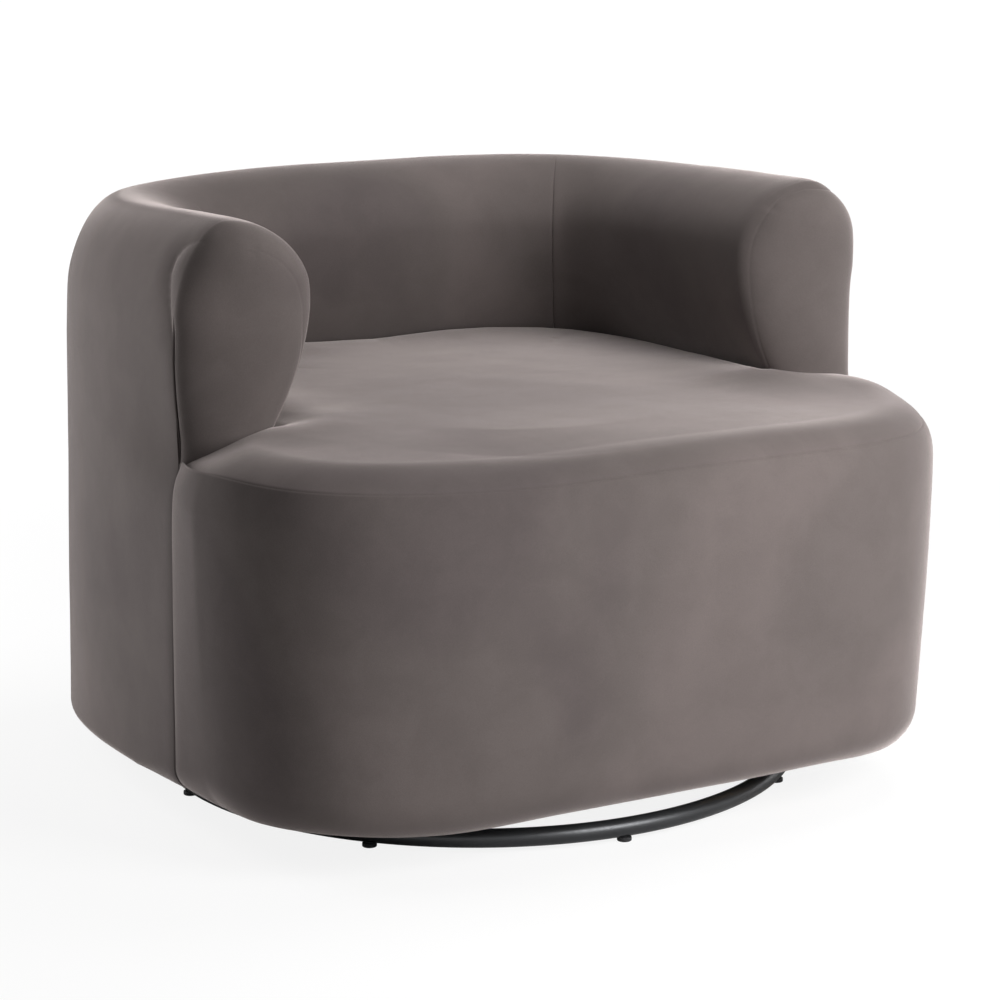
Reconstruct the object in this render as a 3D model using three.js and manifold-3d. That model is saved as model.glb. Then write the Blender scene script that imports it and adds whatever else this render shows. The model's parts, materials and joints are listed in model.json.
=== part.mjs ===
import * as THREE from "three";
import { mergeVertices } from "three/addons/utils/BufferGeometryUtils.js";
import Module from "manifold-3d";

// Cuddle chair on a swivel ring: a wide round seat with one low wall that wraps from arm to arm.
// Millimetres, +Z up, origin on the floor under the swivel axis, the front faces -Y.

const wasm = await Module();
wasm.setup();

// Body seen from above: a superellipse, squarer at the front than at the back
const halfWidth = 450;
const backReach = 448;
const frontReach = 436;
const backSquarenessShare = 3.4;
const frontSquarenessShare = 4.6;
const armFrontY = -140;
const backSeamX = 320;

// Wall of back and arms
const backHeight = 687;
const armHeight = 708;
const backThickness = 181;
const armThickness = 166;
const outerRoundHeight = 116;
const outerRoundWidth = 66;
const innerRoundHeight = 82;
const roundSquarenessShare = 1.86;
const wallLeanShare = 0.018;
const waistHeight = 345;
const innerTuck = 66;
const wallBottomRound = 9;
const noseReach = 41;
const noseTopRound = 57;
const noseCrestFlat = 3;
const noseLevelStep = 0.5;

// Seat and front border
const seatSeamHeight = 446;
const seatCrownRise = 29;
const seatEdgeRound = 62;
const seatEdgeRise = 20.5;
const crownShare = 1.8;
const frontBottomRound = 46;
const borderBulge = 15.5;
const borderWidestDrop = 46;
const borderSeamInset = 14.5;
const borderBottomInset = 14.5;
const borderCurveShare = 1.5;
const bulgeRun = 90;
const roundRun = 230;
const roundLead = 60;
const coverTuckDepth = 60;
const wallHem = 60;
const frontHem = 100;

// Layers
const fitGap = 0.3;
const coverThickness = 2.5;
const wallFrameInset = 22;
const frontFrameInset = 62.3;
const boardThickness = 3;
const railDepth = 40;
const plyThickness = 18;
const armPlug = 5;
const plugTaper = 2.5;

// Timber frame
const crestPadding = 87;
const deckHeight = 290;
const deckSideWidth = 146;
const deckFrontWidth = 145;
const deckBackWidth = 198;
const deckOpeningRound = 36;
const postWidth = 32;
const postSideRoom = 4;
const postEndRoom = 2;
const frontPostPitch = 250;

// Seat suspension
const springSideRoom = 230;
const springWire = 3.8;
const springSwing = 21;
const springLanding = 22;
const springWaves = 11;
const springStepsPerWave = 4;
const springSides = 5;
const clipStripWidth = 20;
const clipStripThickness = 3.5;
const clipStripOverhang = 30;
const padThickness = 3;
const padSideMargin = 25;
const padEndMargin = 6;

// Swivel base
const ringRadius = 380;
const ringTube = 22;
const ringWall = 1.5;
const glideHeight = 5;
const glideWidth = 17;
const glideChamfer = 1;
const glideStud = 6;
const glideStudReach = 6;
const barWidth = 38;
const barHeight = 18;
const barWall = 2;
const barEndRoom = 4;
const barTurn = Math.PI / 4;
const plateThickness = 3;
const lowerPlateRadius = 112;
const lowerPlateRise = 15.4;
const lowerPlateLip = 4;
const upperPlateRadius = 125;
const upperPlateSkirt = 8;
const ballTrackRadius = 100;
const ballDiameter = 10;
const ballClearance = 0.4;
const cageWidth = 14;
const cageThickness = 2;
const pinDiameter = 16;
const pinRunningGap = 0.5;
const pinHeadWidth = 28;
const pinHeadThickness = 3;
const nutWidth = 26;
const nutHeight = 9;
const nutWellDiameter = 42;
const boltDiameter = 8;
const boltHeadWidth = 13;
const boltHeadThickness = 4;
const boltCircleRadius = 60;
const boltHoleGap = 0.5;
const dustCoverThickness = 1;
const dustCoverHole = 145;

// Counts
const frontStations = 11;
const armStations = 8;
const backStations = 6;
const roundSteps = 5;
const innerFaceSteps = 3;
const cornerSteps = 3;
const noseSteps = 8;
const seatEdgeSteps = 3;
const crownSteps = 4;
const wallPostCount = 8;
const frontPostCount = 3;
const springCount = 5;
const glideCount = 8;
const ballCount = 12;
const ballSegments = 6;
const nutSides = 6;
const boltCount = 4;
const ringSegments = 40;
const tubeSegments = 12;
const boreSegments = 6;
const plateSegments = 32;
const smallSegments = 12;
const outlineTableSize = 4000;

// Small working sizes
const weldDistance = 0.001;
const overrun = 20;
const slopeProbe = 2;
const turnWeight = 200;

// Heights that follow from the stack on the base ring
const ringHeight = glideHeight + ringTube / 2;
const barTop = ringHeight + barHeight / 2;
const barBottom = ringHeight - barHeight / 2;
const lowerPlateTop = barTop + fitGap + lowerPlateRise;
const ballHeight = lowerPlateTop + ballClearance + ballDiameter / 2;
const upperPlateBottom = ballHeight + ballDiameter / 2 + ballClearance;
const upperPlateTop = upperPlateBottom + plateThickness;
const baseBoardBottom = upperPlateTop + fitGap;
const baseBoardTop = baseBoardBottom + plyThickness;
const bodyBottom = baseBoardBottom - fitGap - coverThickness;
const deckTop = deckHeight + plyThickness;
const railTop = Math.min(armHeight, backHeight) - crestPadding;
const railHeight = railTop - plyThickness;
const clipStripTop = deckTop + fitGap + clipStripThickness;
const springHeight = clipStripTop + fitGap + springWire / 2;
const padBottom = springHeight + springWire / 2 + fitGap;
const padTop = padBottom + padThickness;
const seatFoamBottom = padTop + fitGap;
const foamDepth = coverThickness + fitGap;
const wallFrameOuter = -wallFrameInset;
const postOuter = wallFrameOuter - boardThickness - fitGap;
const postInner = postOuter - railDepth;
const innerBoardOuter = postInner - fitGap;
const innerBoardInner = innerBoardOuter - boardThickness;
const frontBoardInner = -frontFrameInset - boardThickness;
const deckEdge = innerBoardOuter;

// Plan places that follow from the body's outline
const deckOpeningHalfWidth = halfWidth - deckSideWidth;
const deckOpeningFront = deckFrontWidth - frontReach;
const deckOpeningBack = backReach - deckBackWidth;
const springFront = deckOpeningFront - springLanding;
const springBack = deckOpeningBack + springLanding;
const springHalfSpan = halfWidth - springSideRoom;
const springPitch = (2 * springHalfSpan) / (springCount - 1);

const clamp01 = (value) => Math.min(Math.max(value, 0), 1);
const signedPower = (value, power) => Math.sign(value) * Math.abs(value) ** power;

// Materials
function finish(color, roughness, metalness = 0) {
  return new THREE.MeshStandardMaterial({ color, roughness, metalness });
}
const velvet = () => finish("#6c6664", 0.95);
const foam = () => finish("#e4dcc4", 0.9);
const ply = () => finish("#c9a878", 0.75);
const hardboard = () => finish("#8a6544", 0.8);
const blackSteel = () => finish("#29292b", 0.4, 0.8);
const zincSteel = () => finish("#b4b6b8", 0.35, 0.9);
const springSteel = () => finish("#5b5f63", 0.4, 0.9);
const blackRubber = () => finish("#17171a", 0.85);
const felt = () => finish("#8f9091", 1);
const blackCloth = () => finish("#1c1c1e", 1);
const nylon = () => finish("#d9d9d2", 0.5);

const chair = new THREE.Group();

function addPart(name, geometry, material) {
  geometry.computeVertexNormals();
  const mesh = new THREE.Mesh(geometry, material);
  mesh.name = name;
  chair.add(mesh);
  return mesh;
}

// Solids: closed meshes in and out of the boolean library
function toSolid(geometry) {
  const bare = geometry.clone();
  bare.deleteAttribute("normal");
  bare.deleteAttribute("uv");
  const welded = outward(mergeVertices(bare, weldDistance));
  const corners = welded.index.array;
  const kept = [];
  for (let i = 0; i < corners.length; i += 3) {
    const [a, b, c] = [corners[i], corners[i + 1], corners[i + 2]];
    if (a !== b && b !== c && c !== a) kept.push(a, b, c);
  }
  return new wasm.Manifold(
    new wasm.Mesh({
      numProp: 3,
      vertProperties: new Float32Array(welded.attributes.position.array),
      triVerts: new Uint32Array(kept),
    })
  );
}

function toGeometry(solid) {
  const mesh = solid.getMesh();
  const geometry = new THREE.BufferGeometry();
  geometry.setAttribute("position", new THREE.Float32BufferAttribute(mesh.vertProperties, 3));
  geometry.setIndex(new THREE.Uint32BufferAttribute(mesh.triVerts, 1));
  return geometry;
}

// Faces across a flat outline, wound the way the outline runs
function capFaces(flat) {
  const clockwise = THREE.ShapeUtils.isClockWise(flat);
  const faces = THREE.ShapeUtils.triangulateShape(flat, []);
  return faces.map(([a, b, c]) => (clockwise ? [a, c, b] : [a, b, c]));
}

// Closed skin over rings of equal length, each with a flat outline for its cap at the two ends.
// Every four-sided facet is split along its rising diagonal, so that nested skins stay parallel.
function loft(rings, flatFirst, flatLast) {
  const count = rings[0].length;
  const positions = rings.flat().flatMap((point) => [point.x, point.y, point.z]);
  const faces = [];
  for (let r = 0; r + 1 < rings.length; r += 1) {
    for (let i = 0; i < count; i += 1) {
      const next = (i + 1) % count;
      const [a, b] = [r * count + i, r * count + next];
      const [c, d] = [a + count, b + count];
      const rising = rings[r][next].z >= rings[r][i].z;
      faces.push(...(rising ? [a, b, d, a, d, c] : [a, b, c, b, d, c]));
    }
  }
  const last = (rings.length - 1) * count;
  for (const [a, b, c] of capFaces(flatFirst)) faces.push(a, c, b);
  for (const [a, b, c] of capFaces(flatLast)) faces.push(last + a, last + b, last + c);
  const geometry = new THREE.BufferGeometry();
  geometry.setAttribute("position", new THREE.Float32BufferAttribute(positions, 3));
  geometry.setIndex(faces);
  return outward(geometry);
}

// Turns a closed skin the right way out
function outward(geometry) {
  const p = geometry.attributes.position;
  const index = geometry.index.array;
  const [a, b, c] = [new THREE.Vector3(), new THREE.Vector3(), new THREE.Vector3()];
  let volume = 0;
  for (let i = 0; i < index.length; i += 3) {
    a.fromBufferAttribute(p, index[i]);
    b.fromBufferAttribute(p, index[i + 1]);
    c.fromBufferAttribute(p, index[i + 2]);
    volume += a.dot(b.cross(c));
  }
  if (volume < 0) {
    for (let i = 0; i < index.length; i += 3) {
      [index[i + 1], index[i + 2]] = [index[i + 2], index[i + 1]];
    }
  }
  return geometry;
}

// Outline of the body; angle 0 is the back centre and a quarter turn is the +X side
function outlinePoint(angle) {
  const atBack = Math.cos(angle) > 0;
  const power = 2 / (atBack ? backSquarenessShare : frontSquarenessShare);
  const reach = atBack ? backReach : frontReach;
  return new THREE.Vector2(
    halfWidth * signedPower(Math.sin(angle), power),
    reach * signedPower(Math.cos(angle), power)
  );
}

// Table of the whole outline by length, from the back centre round through +X; the measure grows
// with length and with turning, so that places spaced evenly by it lie closer together in corners
const outlineTable = [];
for (let i = 0, length = 0, measure = 0, heading = 0; i <= outlineTableSize; i += 1) {
  const point = outlinePoint((2 * Math.PI * i) / outlineTableSize);
  if (i > 0) {
    const step = point.clone().sub(outlineTable[i - 1].point);
    const turn = i > 1 ? Math.abs(Math.sin(step.angle() - heading)) : 0;
    length += step.length();
    measure += step.length() + turnWeight * turn;
    heading = step.angle();
  }
  outlineTable.push({ point, length, measure });
}
const outlineLength = outlineTable[outlineTableSize].length;

// Neighbouring table entries on both sides of a value, and how far it lies between them
function lookUp(key, value) {
  let low = 0;
  let high = outlineTableSize;
  while (high - low > 1) {
    const middle = Math.floor((low + high) / 2);
    if (outlineTable[middle][key] > value) high = middle;
    else low = middle;
  }
  const [a, b] = [outlineTable[low], outlineTable[high]];
  return { a, b, share: (value - a[key]) / (b[key] - a[key]) };
}

function pointAtLength(length) {
  const wanted = ((length % outlineLength) + outlineLength) % outlineLength;
  const { a, b, share } = lookUp("length", wanted);
  return a.point.clone().lerp(b.point, share);
}

// A station is a place on the outline with its outward direction
function stationAt(length) {
  const point = pointAtLength(length);
  const ahead = pointAtLength(length + slopeProbe).sub(pointAtLength(length - slopeProbe));
  ahead.normalize();
  return { x: point.x, y: point.y, nx: -ahead.y, ny: ahead.x, ahead };
}

// First length from the back centre, going round through +X, at which the test holds
function lengthWhere(test) {
  let low = 0;
  let high = outlineLength / 2;
  while (high - low > weldDistance) {
    const middle = (low + high) / 2;
    if (test(pointAtLength(middle))) high = middle;
    else low = middle;
  }
  return high;
}

// Lengths of the seams: right and left arm fronts, right and left back seams
const rightBackSeam = lengthWhere((point) => point.x >= backSeamX);
const rightArmFront = lengthWhere((point) => point.y <= armFrontY);
const leftBackSeam = -rightBackSeam;
const leftArmFront = -rightArmFront;
const frontEnd = outlineLength - rightArmFront;

// Every swept piece takes its stations from these marks, so that nested pieces have the same facets
const evenly = (from, to, count) =>
  Array.from({ length: count }, (_, i) => from + ((to - from) * i) / (count - 1));

function lengthsByMeasure(from, to, count) {
  const [start, end] = [from, to].map((length) => {
    const { a, b, share } = lookUp("length", length);
    return a.measure + (b.measure - a.measure) * share;
  });
  return evenly(start, end, count).map((measure) => {
    const { a, b, share } = lookUp("measure", measure);
    return a.length + (b.length - a.length) * share;
  });
}

const rightMarks = [
  ...lengthsByMeasure(0, rightBackSeam, backStations).slice(1, -1),
  ...lengthsByMeasure(rightBackSeam, rightArmFront, armStations),
  ...lengthsByMeasure(rightArmFront, outlineLength / 2, frontStations).slice(1),
];
const leftMarks = rightMarks.filter((mark) => mark <= rightArmFront).map((mark) => -mark);
const leftFrontMarks = rightMarks
  .filter((mark) => mark >= rightArmFront && mark < outlineLength / 2 - slopeProbe)
  .map((mark) => outlineLength - mark);
const marks = [...leftMarks.reverse(), 0, ...rightMarks, ...leftFrontMarks.reverse()];

function run(from, to) {
  const between = marks.filter((mark) => mark > from + slopeProbe && mark < to - slopeProbe);
  return [from, ...between, to].map(stationAt);
}

const place = (station, offset, z) =>
  new THREE.Vector3(station.x + station.nx * offset, station.y + station.ny * offset, z);

// Sweep of a section of [offset, z] pairs along stations
function sweep(stations, section) {
  const sections = stations.map(section);
  const rings = sections.map((pairs, i) =>
    pairs.map(([offset, z]) => place(stations[i], offset, z))
  );
  const flat = (pairs) => pairs.map(([offset, z]) => new THREE.Vector2(offset, z));
  return loft(rings, flat(sections[0]), flat(sections[sections.length - 1]));
}

// How far the outer face stands from the outline at a height below the seat seam
function sideOffset(station, z) {
  const wall = -wallLeanShare * (z - waistHeight);
  const widest = seatSeamHeight - borderWidestDrop;
  const above = clamp01((z - widest) / borderWidestDrop);
  const below = clamp01((widest - z) / (widest - bodyBottom));
  const inset = borderSeamInset * above ** 2 + borderBottomInset * below ** borderCurveShare;
  const front = borderBulge - inset;
  const blend = Math.sqrt(clamp01((armFrontY - station.y) / bulgeRun));
  return wall + (front - wall) * blend;
}

function bottomRound(station) {
  const blend = clamp01((armFrontY + roundLead - station.y) / roundRun);
  return wallBottomRound + (frontBottomRound - wallBottomRound) * blend;
}

// Rounded bottom corner at a depth under the surface, from the hem side up
function bottomCorner(station, depth) {
  const radius = bottomRound(station) - depth;
  const top = bodyBottom + bottomRound(station);
  return Array.from({ length: cornerSteps + 1 }, (_, i) => {
    const angle = (Math.PI / 2) * (i / cornerSteps);
    const z = top - radius * Math.cos(angle);
    return [sideOffset(station, z) - depth - radius * (1 - Math.sin(angle)), z];
  });
}

// Wall profile at a depth under its surface: outer side up to the crest, inner side down to the seat
function wallProfile(station, depth) {
  const share = clamp01((station.y - armFrontY) / (backReach - armFrontY));
  const crest = armHeight + (backHeight - armHeight) * share;
  const thickness = armThickness + (backThickness - armThickness) * share;
  const power = 2 / roundSquarenessShare;
  const arc = (i) => {
    const angle = (Math.PI / 2) * (i / roundSteps);
    return [1 - Math.cos(angle) ** power, Math.sin(angle) ** power];
  };
  const outer = bottomCorner(station, depth);
  outer.push([sideOffset(station, waistHeight) - depth, waistHeight]);
  for (let i = 0; i <= roundSteps; i += 1) {
    const [inwards, upwards] = arc(i);
    const z = crest - outerRoundHeight + (outerRoundHeight - depth) * upwards;
    const lean = -wallLeanShare * (z - waistHeight);
    outer.push([lean - depth - (outerRoundWidth - depth) * inwards, z]);
  }
  const topLean = -wallLeanShare * (crest - waistHeight);
  const face = topLean - thickness + depth;
  const innerRoundWidth = thickness - outerRoundWidth;
  const inner = [];
  for (let i = roundSteps - 1; i >= 0; i -= 1) {
    const [inwards, upwards] = arc(i);
    const z = crest - innerRoundHeight + (innerRoundHeight - depth) * upwards;
    inner.push([face + (innerRoundWidth - depth) * inwards, z]);
  }
  const faceTop = crest - innerRoundHeight;
  for (let i = 1; i <= innerFaceSteps; i += 1) {
    const down = i / innerFaceSteps;
    inner.push([face + innerTuck * down ** 2, faceTop - (faceTop - seatSeamHeight) * down]);
  }
  return { outer, inner };
}

// Section of a cover: a skin between two depths, from the hem under the body to the tuck at the seat
function wallCoverSection(station) {
  const skin = (depth) => {
    const { outer, inner } = wallProfile(station, depth);
    const [tuckOffset] = inner[inner.length - 1];
    const tuckHeight = seatSeamHeight - coverTuckDepth;
    return [[-wallHem, bodyBottom + depth], ...outer, ...inner, [tuckOffset, tuckHeight]];
  };
  return [...skin(0), ...skin(coverThickness).reverse()];
}

// Section of the wall's foam: over the frame like a saddle, down the outside and down to the deck
function wallFoamSection(station) {
  const { outer, inner } = wallProfile(station, foamDepth);
  const [innerOffset] = inner[inner.length - 1];
  const outerFace = wallFrameOuter + fitGap;
  const innerFace = innerBoardInner - fitGap;
  return [
    [outerFace, outer[0][1]],
    ...outer,
    ...inner,
    [innerOffset, deckTop + fitGap],
    [innerFace, deckTop + fitGap],
    [innerFace, railTop + fitGap],
    [outerFace, railTop + fitGap],
  ];
}

// Everything outward of the wall's inner face, which the seat stays clear of
function beyondWallSection(station) {
  const { outer, inner } = wallProfile(station, -fitGap);
  const [innerOffset] = inner[inner.length - 1];
  const crest = outer[outer.length - 1];
  return [
    [overrun, -overrun],
    [overrun, crest[1]],
    crest,
    ...inner,
    [innerOffset, -overrun],
  ];
}

// Rectangular section between two offsets and two heights
const bandSection = (outerOffset, innerOffset, bottom, top) => () => [
  [outerOffset, bottom],
  [outerOffset, top],
  [innerOffset, top],
  [innerOffset, bottom],
];

// Heights at which the front border and the seat's side have their points
const borderHeights = (station) => {
  const low = bodyBottom + bottomRound(station);
  const middle = (seatFoamBottom + seatSeamHeight) / 2;
  return [(low + seatFoamBottom) / 2, seatFoamBottom, middle, seatSeamHeight - fitGap / 2];
};

function borderProfile(station, depth, levels) {
  return [
    ...bottomCorner(station, depth),
    ...levels.map((z) => [sideOffset(station, z) - depth, z]),
  ];
}

function borderCoverSection(station) {
  const skin = (depth) => [
    [-frontHem, bodyBottom + depth],
    ...borderProfile(station, depth, borderHeights(station)),
  ];
  return [...skin(0), ...skin(coverThickness).reverse()];
}

function borderFoamSection(station) {
  const [low] = borderHeights(station);
  const innerFace = -frontFrameInset + fitGap;
  const skin = borderProfile(station, foamDepth, [low, padTop]);
  return [[innerFace, skin[0][1]], ...skin, [innerFace, padTop]];
}

// Domed seat form over the whole outline, at a depth under its surface, flat underneath
const wholeOutline = run(leftArmFront, frontEnd).slice(0, -1);

function domedSeat(depth, bottom) {
  const rings = [];
  const addRing = (offsetAt, z) =>
    rings.push(wholeOutline.map((station) => place(station, offsetAt(station), z)));
  const middle = (seatFoamBottom + seatSeamHeight) / 2;
  const levels = [bottom, seatFoamBottom, middle, seatSeamHeight];
  for (const z of levels.filter((level, i) => i === 0 || level > bottom)) {
    addRing((station) => sideOffset(station, z) - depth, z);
  }
  const seam = (station) => sideOffset(station, seatSeamHeight);
  for (let i = 1; i <= seatEdgeSteps; i += 1) {
    const angle = (Math.PI / 2) * (i / seatEdgeSteps);
    const [out, up] = [Math.cos(angle) * seatEdgeRise, Math.sin(angle) * seatEdgeRound];
    const across = Math.hypot(out, up);
    addRing(
      (station) => seam(station) - seatEdgeRound * (1 - Math.cos(angle)) - (depth * out) / across,
      seatSeamHeight + seatEdgeRise * Math.sin(angle) - (depth * up) / across
    );
  }
  const edge = rings[rings.length - 1];
  const edgeHeight = seatSeamHeight + seatEdgeRise - depth;
  const rise = seatCrownRise - seatEdgeRise;
  for (let i = 1; i < crownSteps; i += 1) {
    const reach = 1 - i / crownSteps;
    const z = edgeHeight + rise * (1 - reach ** crownShare);
    rings.push(edge.map((point) => new THREE.Vector3(point.x * reach, point.y * reach, z)));
  }
  const flat = (ring) => ring.map((point) => new THREE.Vector2(point.x, point.y));
  return toSolid(loft(rings, flat(rings[0]), flat(rings[rings.length - 1])));
}

// Round front end of an arm, as a stack of half ellipses; it runs back by plug behind its seam
function armNose(seamStation, side, depth, plug) {
  const { outer, inner } = wallProfile(seamStation, depth);
  const crest = outer[outer.length - 1][1];
  const upright = outer.filter(([, z]) => z >= waistHeight);
  const offsetOn = (line, z) => {
    const sorted = [...line].sort((a, b) => a[1] - b[1]);
    const above = Math.max(1, sorted.findIndex(([, height]) => height >= z));
    const [[o0, z0], [o1, z1]] = [sorted[above - 1], sorted[above]];
    return o0 + ((o1 - o0) * (z - z0)) / (z1 - z0);
  };
  const faces = [...inner, outer[outer.length - 1]];
  const top = crest - noseCrestFlat;
  const all = [...upright, ...inner].map(([, z]) => z).filter((z) => z > seatSeamHeight && z < top);
  const levels = [seatSeamHeight, ...all.sort((a, b) => a - b), top];
  const kept = levels.filter((z, i) => i === 0 || z - levels[i - 1] > noseLevelStep);
  const forward = { x: seamStation.ahead.x * side, y: seamStation.ahead.y * side };
  const rings = kept.map((z) => {
    const [a, b] = [offsetOn(upright, z), offsetOn(faces, z)];
    const [middle, half] = [(a + b) / 2, (a - b) / 2];
    const rise = clamp01((z - (crest - noseTopRound)) / noseTopRound);
    const bulge = (1 - rise ** roundSquarenessShare) ** (1 / roundSquarenessShare);
    const reach = (noseReach - depth) * bulge;
    const ring = [];
    for (let i = 0; i <= noseSteps; i += 1) {
      const angle = -Math.PI / 2 + (Math.PI * i) / noseSteps;
      const across = middle + half * Math.sin(angle);
      const ahead = reach * Math.cos(angle);
      const base = place(seamStation, across, z);
      ring.push(new THREE.Vector3(base.x + forward.x * ahead, base.y + forward.y * ahead, z));
    }
    for (const across of [a - plugTaper, b + plugTaper]) {
      const base = place(seamStation, across, z);
      ring.push(new THREE.Vector3(base.x - forward.x * plug, base.y - forward.y * plug, z));
    }
    return ring;
  });
  const flat = (ring) => ring.map((point) => new THREE.Vector2(point.x, point.y));
  return toSolid(loft(rings, flat(rings[0]), flat(rings[rings.length - 1])));
}

const box = (width, depth, height) => new THREE.BoxGeometry(width, depth, height);

// Upright round bar or cutter from one height to another
function upright(radius, bottom, top, segments = smallSegments, x = 0, y = 0) {
  const bar = new THREE.CylinderGeometry(radius, radius, top - bottom, segments);
  return bar.rotateX(Math.PI / 2).translate(x, y, (bottom + top) / 2);
}

// Closed profile of [radius, z] pairs turned about the swivel axis
function turned(profile, segments) {
  const points = [...profile, profile[0]].map(([radius, z]) => new THREE.Vector2(radius, z));
  const onAxis = profile[0][0] === 0;
  const line = onAxis ? points.slice(0, -1) : points;
  return new THREE.LatheGeometry(line, segments).rotateX(Math.PI / 2);
}

// Board cut to a list of plan points, from one height up by its thickness; each hole is a list too
function board(points, bottom, thickness, holes = []) {
  const shape = new THREE.Shape(points);
  shape.holes.push(...holes.map((hole) => new THREE.Path(hole)));
  const settings = { depth: thickness, bevelEnabled: false };
  return new THREE.ExtrudeGeometry(shape, settings).translate(0, 0, bottom);
}

// Rectangle with round corners, or a circle where its corners meet
function roundHole(radius, x, y, halfX = radius, halfY = radius) {
  const hole = [];
  for (let i = 0; i < smallSegments; i += 1) {
    const angle = (2 * Math.PI * (i + 1 / 2)) / smallSegments;
    const [across, along] = [Math.cos(angle), Math.sin(angle)];
    const cornerX = x + Math.sign(across) * (halfX - radius);
    const cornerY = y + Math.sign(along) * (halfY - radius);
    hole.push(new THREE.Vector2(cornerX + radius * across, cornerY + radius * along));
  }
  return hole;
}

const planPoint = (station, offset) =>
  new THREE.Vector2(station.x + station.nx * offset, station.y + station.ny * offset);

// Stations of the frame behind the arm fronts, and of the front border between them
const frameEnd = rightArmFront - armPlug - fitGap;
const wallRun = run(-frameEnd, frameEnd);
const frontRun = run(rightArmFront + fitGap, frontEnd - fitGap);

// Plan points all round, at one offset along the wall and another along the front
function planOutline(wallOffset, frontOffset) {
  return [
    ...wallRun.map((station) => planPoint(station, wallOffset)),
    ...frontRun.map((station) => planPoint(station, frontOffset)),
  ];
}

// Place on a circle about the swivel axis, counted from the front
function spot(radius, index, count) {
  const angle = (2 * Math.PI * index) / count - Math.PI / 2;
  return [radius * Math.cos(angle), radius * Math.sin(angle)];
}

function ringTubeSolid(radius, segments) {
  const torus = new THREE.TorusGeometry(ringRadius, radius, segments, ringSegments);
  return toSolid(torus.translate(0, 0, ringHeight));
}

// Base ring: a bent tube with a stud hole over each glide
function makeBaseRing() {
  let ring = ringTubeSolid(ringTube / 2, tubeSegments);
  ring = ring.subtract(ringTubeSolid(ringTube / 2 - ringWall, boreSegments));
  for (let i = 0; i < glideCount; i += 1) {
    const [x, y] = spot(ringRadius, i, glideCount);
    const radius = glideStud / 2 + fitGap;
    ring = ring.subtract(toSolid(upright(radius, -overrun, ringHeight, smallSegments, x, y)));
  }
  addPart("base_ring", toGeometry(ring), blackSteel());
}

// Glides: round pads with a chamfered foot and a stud that plugs into the ring
function makeGlides() {
  const radius = glideWidth / 2;
  const padHeight = glideHeight - fitGap;
  for (let i = 0; i < glideCount; i += 1) {
    const profile = [
      [0, 0],
      [radius - glideChamfer, 0],
      [radius, glideChamfer],
      [radius, padHeight],
      [glideStud / 2, padHeight],
      [glideStud / 2, padHeight + glideStudReach],
      [0, padHeight + glideStudReach],
    ];
    const [x, y] = spot(ringRadius, i, glideCount);
    const glide = toGeometry(toSolid(turned(profile, smallSegments).translate(x, y, 0)));
    addPart(`glide_${i + 1}`, glide, blackRubber());
  }
}

// Box tubes across the ring from corner to corner of the body, coped to the ring, with the pivot
// hole through the long one
function makeCrossBars() {
  const reach = ringRadius - barEndRoom;
  const coping = ringTubeSolid(ringTube / 2 + fitGap, tubeSegments);
  const tube = (from, to, turn) => {
    const seat = (geometry) => {
      geometry.translate((from + to) / 2, 0, ringHeight).rotateZ(turn);
      return toSolid(geometry);
    };
    const skin = seat(box(to - from, barWidth, barHeight));
    const bore = seat(box(to - from + overrun, barWidth - 2 * barWall, barHeight - 2 * barWall));
    return skin.subtract(bore).subtract(coping);
  };
  const pivotHole = toSolid(upright(pinDiameter / 2 + fitGap, -overrun, barTop + overrun));
  const long = tube(-reach, reach, barTurn).subtract(pivotHole);
  addPart("cross_bar_long", toGeometry(long), blackSteel());
  const inner = barWidth / 2 + fitGap;
  addPart("cross_bar_front", toGeometry(tube(inner, reach, barTurn - Math.PI / 2)), blackSteel());
  addPart("cross_bar_back", toGeometry(tube(inner, reach, barTurn + Math.PI / 2)), blackSteel());
}

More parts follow.
